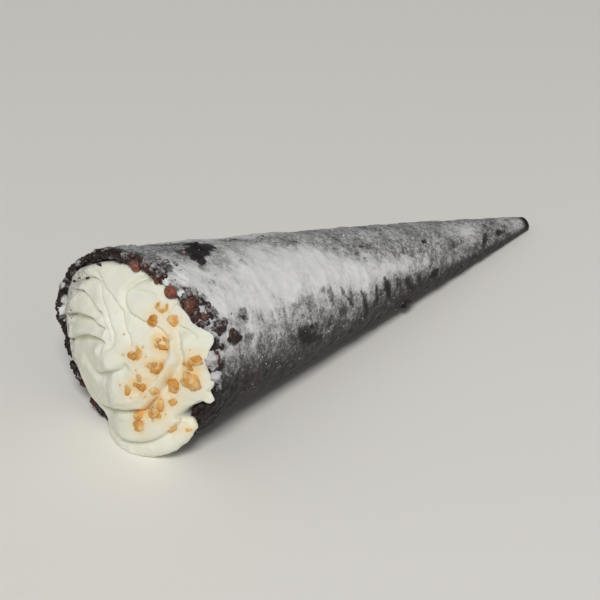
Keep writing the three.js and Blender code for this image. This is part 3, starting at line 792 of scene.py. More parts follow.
def build_horn():
    ns = 345
    na = 255
    phi = np.linspace(0, 2 * np.pi, na, endpoint=False)
    rag = noise_b.fbm(np.stack([np.cos(phi) * 6, np.sin(phi) * 6, 0 * phi], -1), 3) * 0.45
    mouth = MOUTH + rim_offset(phi) - notch(phi) + rag
    rows, kinds = [], []

    def detail(s, ph, mouth_s):
        """small relief of the coated pastry, in mm, outwards"""
        d = np.sin(ph)
        rad = np.maximum(s * math.tan(THETA), 1.5)
        P = cone_point(s, rad, ph)
        t = smooth(TIP, 45, s)
        e = noise_a.fbm(P * 0.13, 3) * 0.26 * t
        e = e + noise_b.fbm(P * 0.42 + 3.0, 3) * 0.13 * (0.5 + 0.5 * t)
        # the strip's edges, as low ripples round the horn
        rip = np.sin(2 * np.pi * (s / 4.1 + 0.35 * noise_c(P * 0.09)) + 0.6 * d)
        e = e + 0.03 * rip * smooth(40, 60, s) * smooth(125, 95, s)
        # knobbly close to the mouth
        near = smooth(17, 2, mouth_s - s)
        k = noise_c.fbm(P * 0.33 + 8.0, 3)
        k2 = noise_a.fbm(P * 0.8 + 1.0, 2)
        e = e + near * (0.50 * np.maximum(k, -0.15) + 0.14 * k2)
        deg = np.degrees(ph) % 360
        cov = np.clip(sugar_cover(s, ph), 0, 1)
        e = e + 0.13 * smooth(0.45, 0.9, cov) * t
        for s0, p0, rr, hh in ((132.6, 89, 3.8, 0.30), (139.0, 156, 2.2, 0.45), (111.5, 172, 3.0, 0.25),
                               (126.3, 114, 1.4, 0.2), (143, 148.6, 2.2, 0.45)):
            dd = ((deg - p0 + 180) % 360 - 180) * np.pi / 180 * rad
            e = e + hh * np.exp(-((s - s0) ** 2 + dd ** 2) / rr ** 2)
        return e

    # tip
    for k in np.linspace(0.12, 0.97, 7):
        s = np.full(na, TIP + TIP_ROUND * (1 - math.sqrt(1 - k * k)))
        r = k * outer_radius(TIP + TIP_ROUND, phi)
        slant = 0.45 * (r / 2.2) * np.sin(phi - 0.6)
        rows.append((s + slant, r))
        kinds.append("tip")
    # wall
    t = np.linspace(0, 1, ns)
    t = t * (1 - 0.18 * t * t * t) / (1 - 0.18)   # a little finer towards the mouth
    s = TIP + TIP_ROUND + t[:, None] * (mouth - 1.15 - TIP - TIP_ROUND)[None, :]
    wide = np.broadcast_to(phi, s.shape)
    slant = 0.45 * np.sin(wide - 0.6) * (1 - smooth(TIP + 0.8, TIP + 5, s))
    r = outer_radius(s, wide) + detail(s, wide, np.broadcast_to(mouth, s.shape))
    for k in range(ns):
        rows.append((s[k] + slant[k], r[k]))
        kinds.append("outer")
    # rounded, torn rim
    r_o = outer_radius(mouth - 1.15, phi) + detail(mouth - 1.15, phi, mouth)
    r_i = outer_radius(mouth, phi) - WALL / math.cos(THETA)
    mid = (r_o + r_i) / 2
    half = (r_o - r_i) / 2
    rim_angles = np.linspace(8, 172, 17)
    for a in rim_angles:
        c, d = math.cos(math.radians(a)), math.sin(math.radians(a))
        s = mouth - 1.15 + 1.15 * d
        r = mid + half * c
        P = cone_point(s, r, phi)
        lumps = noise_c.fbm(P * 0.50 + 1.5, 3) * 0.42 + noise_a.fbm(P * 1.2, 2) * 0.16
        rows.append((s + lumps * d, r + lumps * c))
        kinds.append("rim")
    # inside
    for k in np.concatenate([np.linspace(0, 12, 16), [20, 35, 55, 80, 105]]):
        s = np.maximum(mouth - 1.3 - k, CAVITY)
        P = cone_point(s, outer_radius(s, phi) - WALL, phi)
        r = outer_radius(s, phi) - WALL / math.cos(THETA) + (noise_a.fbm(P * 0.5, 2) * 0.12 if k < 20 else 0)
        rows.append((s, np.maximum(r, 0.4)))
        kinds.append("inner")
    S = np.array([a for a, b in rows])
    R = np.array([b for a, b in rows])
    PH = np.broadcast_to(phi, S.shape)
    P = cone_point(S, R, PH).reshape(-1, 3)
    # pressed flat where it lies
    flat = 0.37
    z = P[:, 2]
    P[:, 2] = flat + 0.5 * (z - flat + np.sqrt((z - flat) ** 2 + 0.16)) - 0.02
    P[:, 2] = np.where(z > flat + 1.5, z, P[:, 2])
    P[:, 2] = np.maximum(P[:, 2], 0.352)
    m = len(rows)
    first = cone_point(np.array([TIP - 0.02]), np.array([0.0]), np.array([0.0]))
    last = cone_point(np.array([CAVITY - 0.6]), np.array([0.0]), np.array([0.0]))
    V = np.vstack([first, P, last])
    i = np.arange(m - 1)[:, None]
    j = np.arange(na)[None, :]
    a = 1 + i * na + j
    b = 1 + i * na + (j + 1) % na
    Q = np.stack([a, b, b + na, a + na], -1).reshape(-1, 4)
    F = [list(map(int, f)) for f in Q]
    for jj in range(na):
        kk = (jj + 1) % na
        F.append([0, 1 + kk, 1 + jj])
        F.append([1 + (m - 1) * na + jj, 1 + (m - 1) * na + kk, m * na + 1])
    ob = mesh_object("pastry_horn", place(V), F)
    flip_if_inside_out(ob)
    cov = np.zeros((m, na))
    deg = np.degrees(phi)
    bridge = sum(a * np.exp(-((deg - c) / w) ** 2) for c, w, a in BRIDGES)    # sugar right up to the rim's edge
    low = smooth(60, 90, np.abs((deg - 90 + 180) % 360 - 180))
    rim_i = 0
    out = [r_ for r_ in range(m) if kinds[r_] in ("tip", "outer")]
    near = smooth(3.2, 0.6, mouth - S[out])
    cov[out] = sugar_cover(S[out], PH[out]) * (1 - 0.75 * near * (1 - np.minimum(bridge, 1)))
    back = smooth(70, 45, np.abs((deg - 10 + 180) % 360 - 180))
    cov[out] = cov[out] * (1 - 0.6 * back * smooth(7, 2, mouth - S[out]))
    for r_ in range(m):
        if kinds[r_] in ("tip", "outer"):
            continue
        elif kinds[r_] == "rim":
            k = rim_i / (len(rim_angles) - 1)
            rim_i += 1
            mott = noise_a.fbm(np.stack([np.cos(phi) * 9, np.sin(phi) * 9, 0 * phi + k * 1.5], -1), 3)
            cov[r_] = (0.12 + 0.30 * mott) * (1 - 0.7 * low) + bridge * (0.85 + 0.4 * mott)
            cov[r_] = cov[r_] + smear(deg) * smooth(0.46, 0.78, k + 0.35 * mott) * (0.72 + 0.5 * mott)
        else:
            mott = noise_a.fbm(cone_point(S[r_], R[r_], phi) * 0.9, 3)
            cov[r_] = 0.02 + (0.72 + 0.6 * mott) * smear(deg) * smooth(7, 3, mouth - S[r_])
    cover = np.concatenate([[0.0], cov.ravel(), [0.0]])
    point_attribute(ob, "sugar", cover)
    return ob


horn = build_horn()


# ---------------------------------------------------------------------------
# Small pieces
# ---------------------------------------------------------------------------
def icosphere(level):
    import bmesh
    bm = bmesh.new()
    bmesh.ops.create_icosphere(bm, subdivisions=level, radius=1.0)
    V = np.array([v.co[:] for v in bm.verts])
    F = np.array([[v.index for v in f.verts] for f in bm.faces])
    bm.free()
    return V, F


ICO2, ICO3 = icosphere(2), icosphere(3)
ICO1 = icosphere(1)


def collect(parts):
    V, F, A, k = [], [], [], 0
    for v, f, a in parts:
        V.append(v)
        F.append(f + k)
        A.append(np.full(len(v), a))
        k += len(v)
    return np.vstack(V), np.vstack(F), np.concatenate(A)


def frame_of(n):
    n = n / np.linalg.norm(n)
    a = np.cross(n, [0.3, 0.9, 0.2])
    a /= np.linalg.norm(a)
    return a, np.cross(n, a), n


def lump(rs, centre, normal, size, squash=(1, 1, 0.85), rough=0.22, freq=1.0, ico=None):
    V, F = ico or ICO3
    a, b, n = frame_of(normal)
    seed = rs.uniform(0, 50, 3)
    d = 1 + rough * noise_a.fbm(V * freq + seed, 3)
    W = V * d[:, None] * np.array(squash)
    turn = rs.uniform(0, 2 * np.pi)
    c, s = math.cos(turn), math.sin(turn)
    W = np.stack([W[:, 0] * c - W[:, 1] * s, W[:, 0] * s + W[:, 1] * c, W[:, 2]], 1) * size
    return centre + W[:, :1] * a + W[:, 1:2] * b + W[:, 2:] * n, F


def shard(rs, centre, normal, size, stretch=(1, 1, 0.6), cuts=9, turn=None):
    """a broken bit of brittle: a ball cut by random planes, edges left a little soft"""
    V, F = ICO3
    W = V.copy()
    for k in range(cuts):
        n = rs.normal(size=3)
        n /= np.linalg.norm(n)
        c = rs.uniform(0.52, 0.86)
        over = np.maximum(W @ n - c, 0)
        W = W - (over * 0.94)[:, None] * n
    W = W * (1 + 0.07 * noise_b.fbm(W * 1.7 + rs.uniform(0, 40, 3), 3))[:, None]
    W = W * np.array(stretch) * size
    turn = rs.uniform(0, 2 * np.pi) if turn is None else turn
    c, s = math.cos(turn), math.sin(turn)
    W = np.stack([W[:, 0] * c - W[:, 1] * s, W[:, 0] * s + W[:, 1] * c, W[:, 2]], 1)
    a, b, n = frame_of(normal)
    return centre + W[:, :1] * a + W[:, 1:2] * b + W[:, 2:] * n, F


# nut brittle on the cream: place (p, q) on the dome, half width, half height
# (mm), turn (deg), tone 0 light to 1 dark
CHIPS = [
    (8.7, 11.8, 0.98, 0.95, 15, 1.0), (13.0, 12.8, 0.87, 1.10, -35, 0.35),
    (6.7, 2.8, 0.92, 0.80, 20, 1.0), (7.9, 3.7, 0.65, 0.95, 0, 0.25),
    (11.1, 1.7, 0.65, 0.60, 0, 0.8), (12.3, 1.1, 1.25, 0.85, 0, 0.6), (13.4, 1.9, 0.65, 0.90, 15, 0.5),
    (11.8, 2.5, 0.49, 0.40, 0, 0.5),
    (20.2, 5.7, 1.36, 0.90, 24, 0.9), (18.3, 4.2, 0.87, 0.55, 0, 0.6), (19.0, 3.3, 0.60, 0.60, 0, 0.7),
    (19.6, 0.3, 1.80, 1.65, 0, 0.5), (18.4, 1.6, 0.76, 0.70, 0, 0.6),
    (15.9, -1.8, 1.30, 1.35, -10, 0.75), (14.8, -0.9, 0.54, 0.60, 0, 0.5),
    (8.6, -2.3, 0.54, 0.80, 20, 0.6), (9.2, -4.3, 1.03, 0.95, 0, 0.85), (7.8, -4.0, 0.60, 0.55, 0, 0.5),
    (6.1, -6.0, 0.65, 1.15, 5, 0.65), (11.9, -4.5, 0.92, 0.85, 0, 0.15), (15.8, -6.0, 1.03, 0.70, 30, 0.4),
    (12.9, -7.7, 1.35, 1.30, 20, 0.5), (11.8, -9.4, 1.25, 1.10, 10, 0.6), (12.8, -10.3, 0.82, 0.55, 0, 0.5),
    (10.7, -9.4, 0.65, 0.55, 0, 0.6), (8.7, -11.4, 1.25, 1.15, 5, 0.5), (8.4, -14.5, 1.14, 1.30, -5, 0.5),
    (10.1, -9.9, 0.43, 0.40, 0, 0.5), (15.7, -13.0, 0.92, 0.50, 25, 0.1), (19.0, -12.5, 0.54, 0.35, 10, 0.0),
    (13.0, 6.8, 0.95, 0.50, 10, 0.8), (13.8, 7.9, 0.50, 0.85, 10, 0.45), (11.3, 8.0, 0.62, 0.34, 30, 0.65),
    (12.7, 8.6, 0.62, 0.30, -15, 0.6), (11.5, 6.9, 0.45, 0.50, 0, 0.3),
]
# bits so thin that the cream shows through: place, half width, half height, tone
RINGS = [(9.8, 15.0, 1.25, 0.95, 0.35)]
SPECKS = [(7.3, 5.2, 0.42), (8.6, 5.6, 0.4), (3.4, 6.9, 0.34), (4.5, 2.3, 0.4), (7.8, -0.3, 0.2), (9.7, 3.6, 0.2),
          (4.1, -5.4, 0.25), (6.8, -7.8, 0.2), (11.8, -11.9, 0.4), (14.4, -9.6, 0.22), (18.8, 8.0, 0.2), (17.2, -10.1, 0.2),
          (10.0, -6.4, 0.25), (14.9, -3.6, 0.22), (9.9, 1.2, 0.2)]
LOOK = back        # the side the photo was taken from: places were read along it


def surface_sampler():
    """where the finished cream lies, found along the direction of LOOK from a place on the dome"""
    from mathutils.bvhtree import BVHTree
    dg = bpy.context.evaluated_depsgraph_get()
    tree = BVHTree.FromObject(cream, dg)

    def hit(p, q):
        H, er, eh = base_height(np.array([p]), np.array([q]))
        c = mouth_point(np.array(p), np.array(q), H[0])
        o = place(c + LOOK * 25.0)
        loc, nor, idx, dist = tree.ray_cast(Vector(o), Vector(-LOOK))
        if loc is None:
            return None
        return np.array(loc) * 1000 - SHIFT, np.array(nor)
    return hit


hit = surface_sampler()


def smooth_normal(p, q, w=0.7):
    acc = np.zeros(3)
    for dp, dq in ((0, 0), (w, 0), (-w, 0), (0, w), (0, -w)):
        h = hit(p + dp, q + dq)
        if h is not None:
            acc += h[1]
    return acc / np.linalg.norm(acc)


def build_chips():
    rs = np.random.RandomState(5)
    parts = []
    stains = []

    def chip(c, n, w, h, turn, tone, thick, sink=-0.15):
        a = -SIDE - n * np.dot(-SIDE, n)
        a /= np.linalg.norm(a)
        b = np.cross(n, a)
        V, F = ICO3
        W = V.copy()
        for k in range(8):
            m = rs.normal(size=3)
            m /= np.linalg.norm(m)
            over = np.maximum(W @ m - rs.uniform(0.5, 0.85), 0)
            W = W - (over * 0.64)[:, None] * m
        W = W * (1 + 0.22 * noise_b.fbm(W * 1.6 + rs.uniform(0, 40, 3), 3))[:, None]
        W = W * 1.44 * np.array([w, h, thick * 1.15])
        ct, st = math.cos(math.radians(turn)), math.sin(math.radians(turn))
        W = np.stack([W[:, 0] * ct - W[:, 1] * st, W[:, 0] * st + W[:, 1] * ct, W[:, 2]], 1)
        centre = c + n * thick * sink
        parts.append((centre + W[:, :1] * a + W[:, 1:2] * b + W[:, 2:] * n, F, tone))

    for p, q, w, h, turn, tone in CHIPS:
        got = hit(p, q)
        if got is None:
            continue
        n = smooth_normal(p, q)
        chip(got[0], n, w, h, turn, tone, 0.42 * min(w, h) * rs.uniform(0.9, 1.15), -0.26)
        stains.append((got[0], 1.0 + 0.85 * max(w, h), 0.62))
    for p, q, w, h, tone in RINGS:
        for k in range(10):
            t = 2 * np.pi * k / 10 + rs.uniform(-0.25, 0.25)
            u = rs.uniform(0.74, 0.98)
            got = hit(p + w * u * math.cos(t), q + h * u * math.sin(t))
            if got is None:
                continue
            if 1.2 < t % (2 * np.pi) < 1.9:
                continue
            chip(got[0], got[1], rs.uniform(0.32, 0.60), rs.uniform(0.20, 0.32), math.degrees(t) + 90 + rs.uniform(-30, 30),
                 tone * rs.uniform(0.0, 1.0), 0.24, -0.1)
            stains.append((got[0], 0.9, 0.3))
    for p, q, r in SPECKS:
        got = hit(p, q)
        if got is None:
            continue
        v, f = shard(rs, got[0] + got[1] * r * 0.05, got[1], r * 1.1, (1, 0.8, 0.6), 7)
        parts.append((v, f, -1.0 if r > 0.3 else 0.2))
        stains.append((got[0], 0.7, 0.15))
    V, F, A = collect(parts)
    ob = mesh_object("brittle_chips", place(V), F)
    point_attribute(ob, "tone", A)
    # the cream takes colour round the bits
    C = np.empty(len(cream.data.vertices) * 3, np.float32)
    cream.data.vertices.foreach_get("co", C)
    C = C.reshape(-1, 3).astype(float) * 1000 - SHIFT
    stain = np.zeros(len(C))
    for c, r, a in stains:
        d2 = ((C - c) ** 2).sum(1)
        stain = stain + a * np.exp(-d2 / (r * 1.15) ** 2)
    spread = noise_c.fbm(C * 0.8, 3)
    stain = np.clip(stain * (1 + 0.5 * spread), 0, 1)
    point_attribute(cream, "stain", stain)
    # sugar and crumbs blown over the cream's far edge, plus painted shade: a strip along the outermost edge pushes the
    # value past 0.9, where the colour turns a darker grey
    D = C - APEX
    h = D @ AXIS - MOUTH
    p, q = -(D @ SIDE), D @ UPW
    deg = np.degrees(np.arctan2(q, -p))
    r = np.hypot(p, q)
    n = noise_a.fbm(C * 0.55, 3)
    side = smooth(48, 30, np.abs(deg - 20))
    start = 16.0 + 2.6 * smooth(28, 46, deg) + 0.6 * smooth(-5, -20, deg)
    dust = side * smooth(start, start + 3.0, r + n * 1.8) * np.clip(0.75 + 0.6 * noise_b.fbm(C * 1.1, 3), 0, 1)
    # painted shade: this strip darkens the outermost edge of the cream on the far side, on top of the dust
    dust = dust + 0.6 * smooth(52, 36, np.abs(deg - 6)) * smooth(17.4, 18.8, r + n * 0.8)
    point_attribute(cream, "dust", dust)
    return ob


chips = build_chips()

# coated nuts and crumbs on the rim: angle, radius, forward of the rim, size, how red
RIM_NUTS = [
    # angle, radius, forward, size, how red, how sugared
    (91.3, 21.3, 0.3, 1.4, 0.92, 0), (88.2, 21.8, 0.1, 0.9, 0.4, -0.1), (94.7, 22.9, 0, 1.2, 0.12, 0.05),
    # the inner nut at 98.2° has a browner tone and less sugar than its neighbours: partly its own coating, partly
    # painted shade, since it lies in shadow
    (98.8, 22.9, 0, 1.3, 0.22, 0.02), (98.2, 21.9, 0.1, 0.95, 0.3, -0.15), (103.2, 22.9, 0, 1.15, 0.1, 0.2),
    (103, 21.9, 0.1, 0.95, 0.15, 0.1), (107, 22.9, 0.1, 1.45, 0.12, 0.0), (107.6, 21.8, 0.2, 1.25, 0.55, -0.2),
    (110.6, 22.9, 0, 0.85, 0.05, -0.05), (110.6, 21.5, 0.1, 0.7, 0.35, -0.15), (119.6, 21.4, 0.35, 1.72, 1, 0),
    (127.3, 22.9, 0, 1.0, 0.1, -0.05), (130.2, 22.6, 0.2, 1.15, 0.15, -0.12), (131.8, 23.3, 0.35, 1.35, 0.62, -0.25),
    (134.9, 22.7, 0.1, 1.1, 0.3, -0.2), (137.5, 22.0, 0, 0.6, 0.05, -0.15), (139, 22.9, 0, 1.1, 0.15, -0.12),
    (141.8, 22.7, 0, 0.7, 0, 0.6), (144.5, 23, 0, 0.9, 0.1, -0.15), (148, 22.9, -0.2, 0.7, 0, 0.3),
    (155.5, 23.0, -0.2, 0.9, 0, -0.35), (158.5, 23.3, -0.3, 0.8, 0, -0.2),
    (163.2, 23.2, 0.1, 1.45, 0.12, 0.62), (168, 23.3, -0.1, 1.15, 0.08, 0.3), (174, 23.1, 0, 1.2, 0, 0.9),
    (179, 23.0, -0.1, 0.9, 0, 0.35), (182.3, 23.0, -0.2, 1.0, 0, 0.2), (186, 22.9, -0.3, 1.05, 0, -0.15),
    (188, 22.9, -0.4, 0.9, 0, 0.0), (206, 20.2, 0.6, 1.3, 0.05, -0.45), (200, 20.9, 0.4, 1.1, 0, -0.45),
    (204, 21.5, 0.1, 1.3, 0, -0.45), (199, 22.2, -0.3, 1.3, 0, -0.4), (210, 20.7, 0.3, 1, 0.05, -0.45),
    (195, 22.3, -0.5, 1.1, 0, -0.3), (208, 22.2, -0.3, 1.1, 0, -0.45), (203, 20, 0.4, 0.9, 0.05, -0.4),
    (83, 22.5, -0.2, 1.0, 0.03, 0.05), (86.9, 23.0, -0.3, 0.95, 0.15, 0.08), (80, 21.5, 0, 0.6, 0.07, -0.28),
    (20.5, 22.9, 0.3, 1.15, 0, 0.5), (25.5, 22.7, 0.1, 0.8, 0, 0.25), (42.0, 22.5, 0.2, 0.9, 0, 0.2),
    (283, 22.4, -0.3, 0.8, 0, -0.38), (222, 22.6, -0.4, 0.9, 0, -0.3),
]
# lumps of coated nut on the outer wall: s, angle, size, how red
WALL_LUMPS = [
    (146.4, 125.9, 1.35, 0.1, 0.25), (148.2, 126.6, 1.15, 0.1, 0.0), (146.6, 130.6, 1.4, 0.15, -0.02),
    (144.9, 130.4, 1.1, 0.05, 0.08), (144.6, 134.4, 1.1, 0.05, -0.03), (146.6, 136.3, 1.15, 0, 0.8),
    (148.1, 134.2, 1.0, 0.25, -0.15), (146.8, 140.4, 1.15, 0.5, -0.15), (144.5, 141.2, 0.95, 0.05, -0.1),
    (146.5, 144.2, 0.9, 0.1, -0.1), (145.0, 138.4, 0.7, 0.1, 0.1), (146.9, 122.9, 0.8, 0.1, 0.15),
    (143.1, 148.6, 1.35, 0.1, -0.05), (141.6, 147.2, 1, 0.1, 0.1), (144.3, 150.6, 0.95, 0.05, -0.05),
    (145.2, 148.4, 0.8, 0.15, 0.0), (139.3, 155.0, 1.4, 0.12, -0.3), (137.9, 158.6, 1.1, 0.05, -0.3), (140.6, 157.0, 0.9, 0, -0.25),
    (134.4, 147, 0.8, 0.1, 0.1), (145.8, 157.6, 1.1, 0.05, -0.15), (144.0, 159.4, 0.7, 0, 0.1),
    (145.6, 163.4, 0.95, 0.6, -0.15), (145.3, 166.6, 0.9, 0.45, -0.05), (144.6, 171.2, 1.1, 0.05, -0.1),
    (143.2, 167.6, 0.7, 0.1, 0.2), (145.3, 185.6, 0.95, 0, 0.05), (143.6, 189.2, 0.8, 0, -0.1), (146.4, 190.4, 1.0, 0, -0.2),
    (146.6, 177.5, 0.8, 0, 0.7), (147.2, 101.0, 0.9, 0.15, 0.1), (145.4, 104.4, 0.75, 0.1, 0.15),
    (148.0, 96.0, 0.8, 0.1, 0.1), (68.6, 213.0, 1.45, 0, -0.3), (67.0, 212.0, 0.9, 0, -0.3),
    (118.1, 79, 0.6, 0, 0), (109.2, 79.5, 0.5, 0, 0), (111.2, 171, 0.7, 0, -0.1), (131.4, 84, 0.8, 0.05, -0.3),
    (138.6, 93, 0.9, 0.3, -0.2), (60.8, 126, 0.45, 0, -0.2), (124, 40, 0.8, 0, 0),
    (139, 22, 0.9, 0.05, 0), (143, 54, 0.9, 0.1, 0), (98, 12, 0.5, 0, 0), (145, 352, 0.9, 0, 0),
    (144, 330, 0.8, 0, 0), (146, 70, 0.8, 0.1, 0), (145.5, 10, 0.8, 0.1, 0), (146, 36, 0.9, 0.1, 0),
]
# dark flakes that stick out of the cream's far edge: p, q, half length, half width, turn
FLAKES = [(-14.8, 15.6, 1.1, 0.6, 20), (-16.2, 14.6, 0.7, 0.5, 60), (-9.9, 17.9, 1.1, 0.38, -8), (-12.9, 13.5, 0.7, 0.28, 35),
          (-15.4, 12.4, 0.4, 0.2, 30), (-13.8, 9.9, 0.3, 0.15, 80), (-17.0, 11.0, 0.5, 0.3, 10), (-17.8, 3.2, 0.35, 0.2, 70)]


def on_floor(v):
    v[:, 2] = np.maximum(v[:, 2], 0.37)
    return v


def build_rim_nuts():
    rs = np.random.RandomState(9)
    parts, dust = [], []
    for deg, r, ahead, size, red, sugar_ in RIM_NUTS:
        ph = math.radians(deg)
        s = MOUTH + float(rim_offset(np.array(ph))) - 0.6 * float(notch(np.array(ph))) + ahead - 0.25
        c = cone_point(np.array(s), np.array(r), np.array(ph))
        out = AXIS * 0.7 + SIDE * math.cos(ph) + UPW * math.sin(ph)
        round_ = red > 0.9
        v, f = lump(rs, c, out, size * (1.0 if round_ else 1.08), (1, rs.uniform(0.88, 1.0) if round_ else rs.uniform(0.72, 1.0),
                    rs.uniform(0.85, 0.95) if round_ else rs.uniform(0.65, 0.9)), rough=0.10 if round_ else 0.46,
                    freq=0.9 if round_ else 1.15)
        parts.append((on_floor(v), f, red))
        dust.append(np.full(len(v), sugar_))
    # the far half of the rim is one uneven dark band of them, run together
    deg = 286.0
    while deg < 440.0:
        ph = math.radians(deg)
        if 304.5 < deg < 315.0 or 328.5 < deg < 334.5:
            deg += 1.0
            continue
        size = rs.uniform(0.8, 1.2) * (0.9 if deg < 350 else 0.84 if deg < 405 else 1)
        r = 22.75 + rs.uniform(-0.3, 0.45)
        s = MOUTH + float(rim_offset(np.array(ph))) - float(notch(np.array(ph))) - 0.35 + rs.uniform(-0.2, 0.25)
        c = cone_point(np.array(s), np.array(r), np.array(ph))
        tangent = -SIDE * math.sin(ph) + UPW * math.cos(ph)
        v, f = lump(rs, np.zeros(3), np.array([0.0, 0.0, 1.0]), size, (1, rs.uniform(0.75, 1), rs.uniform(0.7, 0.9)), rough=0.55, freq=1.5)
        v = v + (rs.uniform(0.3, 0.8) * (v @ tangent))[:, None] * tangent + c
        parts.append((on_floor(v), f, rs.uniform(0.0, 0.06) if rs.uniform() < 0.8 else rs.uniform(0.1, 0.25)))
        dust.append(np.full(len(v), rs.uniform(-0.4, -0.2) if rs.uniform() < 0.85 else 0.1))
        deg += rs.uniform(2.2, 4.0)
    for k in range(110):
        deg = rs.uniform(0, 360)
        ph = math.radians(deg)
        size = rs.uniform(0.22, 0.55)
        r = 22.4 + rs.normal(0, 0.6)
        s = MOUTH + float(rim_offset(np.array(ph))) - float(notch(np.array(ph))) - 0.25 - max(0, r - 22.8) * 1.4
        c = cone_point(np.array(s), np.array(min(r, 23.2)), np.array(ph))
        out = AXIS * 0.8 + (SIDE * math.cos(ph) + UPW * math.sin(ph)) * (0.7 if r > 22.2 else -0.4)
        v, f = lump(rs, c, out, size, (1, rs.uniform(0.6, 1.0), rs.uniform(0.5, 0.8)), rough=0.5, freq=1.4, ico=ICO2)
        parts.append((on_floor(v), f, rs.uniform(0, 0.4) if 50 < deg < 170 else rs.uniform(0, 0.15)))
        dust.append(np.full(len(v), rs.uniform(-0.3, 0.15)))
    V, F, A = collect(parts)
    ob = mesh_object("rim_nuts", place(V), F)
    point_attribute(ob, "red", A)
    D = V - APEX
    a, b = D @ SIDE, D @ UPW
    inner = smooth(22.5, 21.7, np.hypot(a, b) + 0.8 * noise_a.fbm(V * 0.6, 3))
    point_attribute(ob, "dust", np.concatenate(dust) + 1.15 * inner * smear(np.degrees(np.arctan2(b, a))))
    return ob


nuts = build_rim_nuts()


def horn_sampler():
    from mathutils.bvhtree import BVHTree
    tree = BVHTree.FromObject(horn, bpy.context.evaluated_depsgraph_get())

    def on(s, deg):
        ph = math.radians(deg)
        o = place(cone_point(np.array(float(s)), np.array(45.0), np.array(ph)))
        d = -(SIDE * math.cos(ph) + UPW * math.sin(ph))
        loc, nor, idx, dist = tree.ray_cast(Vector(o), Vector(d))
        if loc is None:
            return None
        return np.array(loc) * 1000 - SHIFT, np.array(nor)
    return on


on_horn = horn_sampler()

def build_crumbs():
    rs = np.random.RandomState(21)
    parts, dust = [], []
    for s, deg, size, red, sugar_ in WALL_LUMPS:
        got = on_horn(s, deg)
        if got is None:
            continue
        v, f = lump(rs, got[0] - got[1] * size * 0.22, got[1], size * 1.05, (1, rs.uniform(0.75, 1), rs.uniform(0.65, 0.8)),
                    rough=0.44, freq=1.15)
        parts.append((on_floor(v), f, red))
        dust.append(np.full(len(v), sugar_))
    for p, q, a_, b_, turn in FLAKES:
        got = hit(p, q)
        if got is None:
            continue
        v, f = lump(rs, np.zeros(3), np.array([0.0, 0.0, 1.0]), 1.0, (1, 1, 1), rough=0.5, freq=1.1)
        n = smooth_normal(p, q)
        t = -SIDE * math.cos(math.radians(turn)) + UPW * math.sin(math.radians(turn))
        t = t - n * np.dot(t, n)
        t /= np.linalg.norm(t)
        b = np.cross(n, t)
        v = got[0] + v[:, :1] * t * a_ + v[:, 1:2] * b * b_ + v[:, 2:] * n * b_ * 0.5
        parts.append((on_floor(v), f, 0.1))
        dust.append(np.full(len(v), -0.1))
    for k in range(70):
        s = 148.5 - abs(rs.normal(0, 5.0))
        deg = rs.uniform(-40, 225)
        got = on_horn(s, deg)
        if got is None:
            continue
        size = rs.uniform(0.2, 0.5)
        v, f = lump(rs, got[0] - got[1] * size * 0.5, got[1], size, (1, rs.uniform(0.6, 1), 0.6), rough=0.5, freq=1.3, ico=ICO2)
        parts.append((on_floor(v), f, rs.uniform(0, 0.3)))
        dust.append(np.full(len(v), rs.uniform(-0.2, 0.3)))
    V, F, A = collect(parts)
    ob = mesh_object("coating_crumbs", place(V), F)
    point_attribute(ob, "red", A)
    point_attribute(ob, "dust", np.concatenate(dust))
    return ob


crumbs = build_crumbs()


def build_grains():
    """grains and clumps of icing sugar that stand proud of the dusting"""
    rs = np.random.RandomState(33)
    parts = []
    V0, F0 = ICO1
    want = 2400
    S = 16 + 134 * np.sqrt(rs.uniform(0, 1, want * 3))
    D = rs.uniform(-10, 215, want * 3)
    share = sugar_cover(S, np.radians(D))
    keep = rs.uniform(0, 1, want * 3) < np.clip(0.04 + share * 0.9, 0.02, 1.0)
    for s, deg in zip(S[keep][:want], D[keep][:want]):
        got = on_horn(s, deg)
        if got is None:
            continue
        size = 0.06 + 0.10 * rs.uniform(0, 1) ** 3
        if rs.uniform() < 0.012:
            size *= 2.0
        V = V0 * (1 + rs.normal(0, 0.16, (len(V0), 1))) * size * np.array([1, rs.uniform(0.7, 1), rs.uniform(0.6, 1)])
        a, b, n = frame_of(got[1])
        parts.append((got[0] + n * size * 0.25 + V[:, :1] * a + V[:, 1:2] * b + V[:, 2:] * n, F0, rs.uniform()))
    V, F, A = collect(parts)
    return mesh_object("sugar_grains", place(V), F)


grains = build_grains()


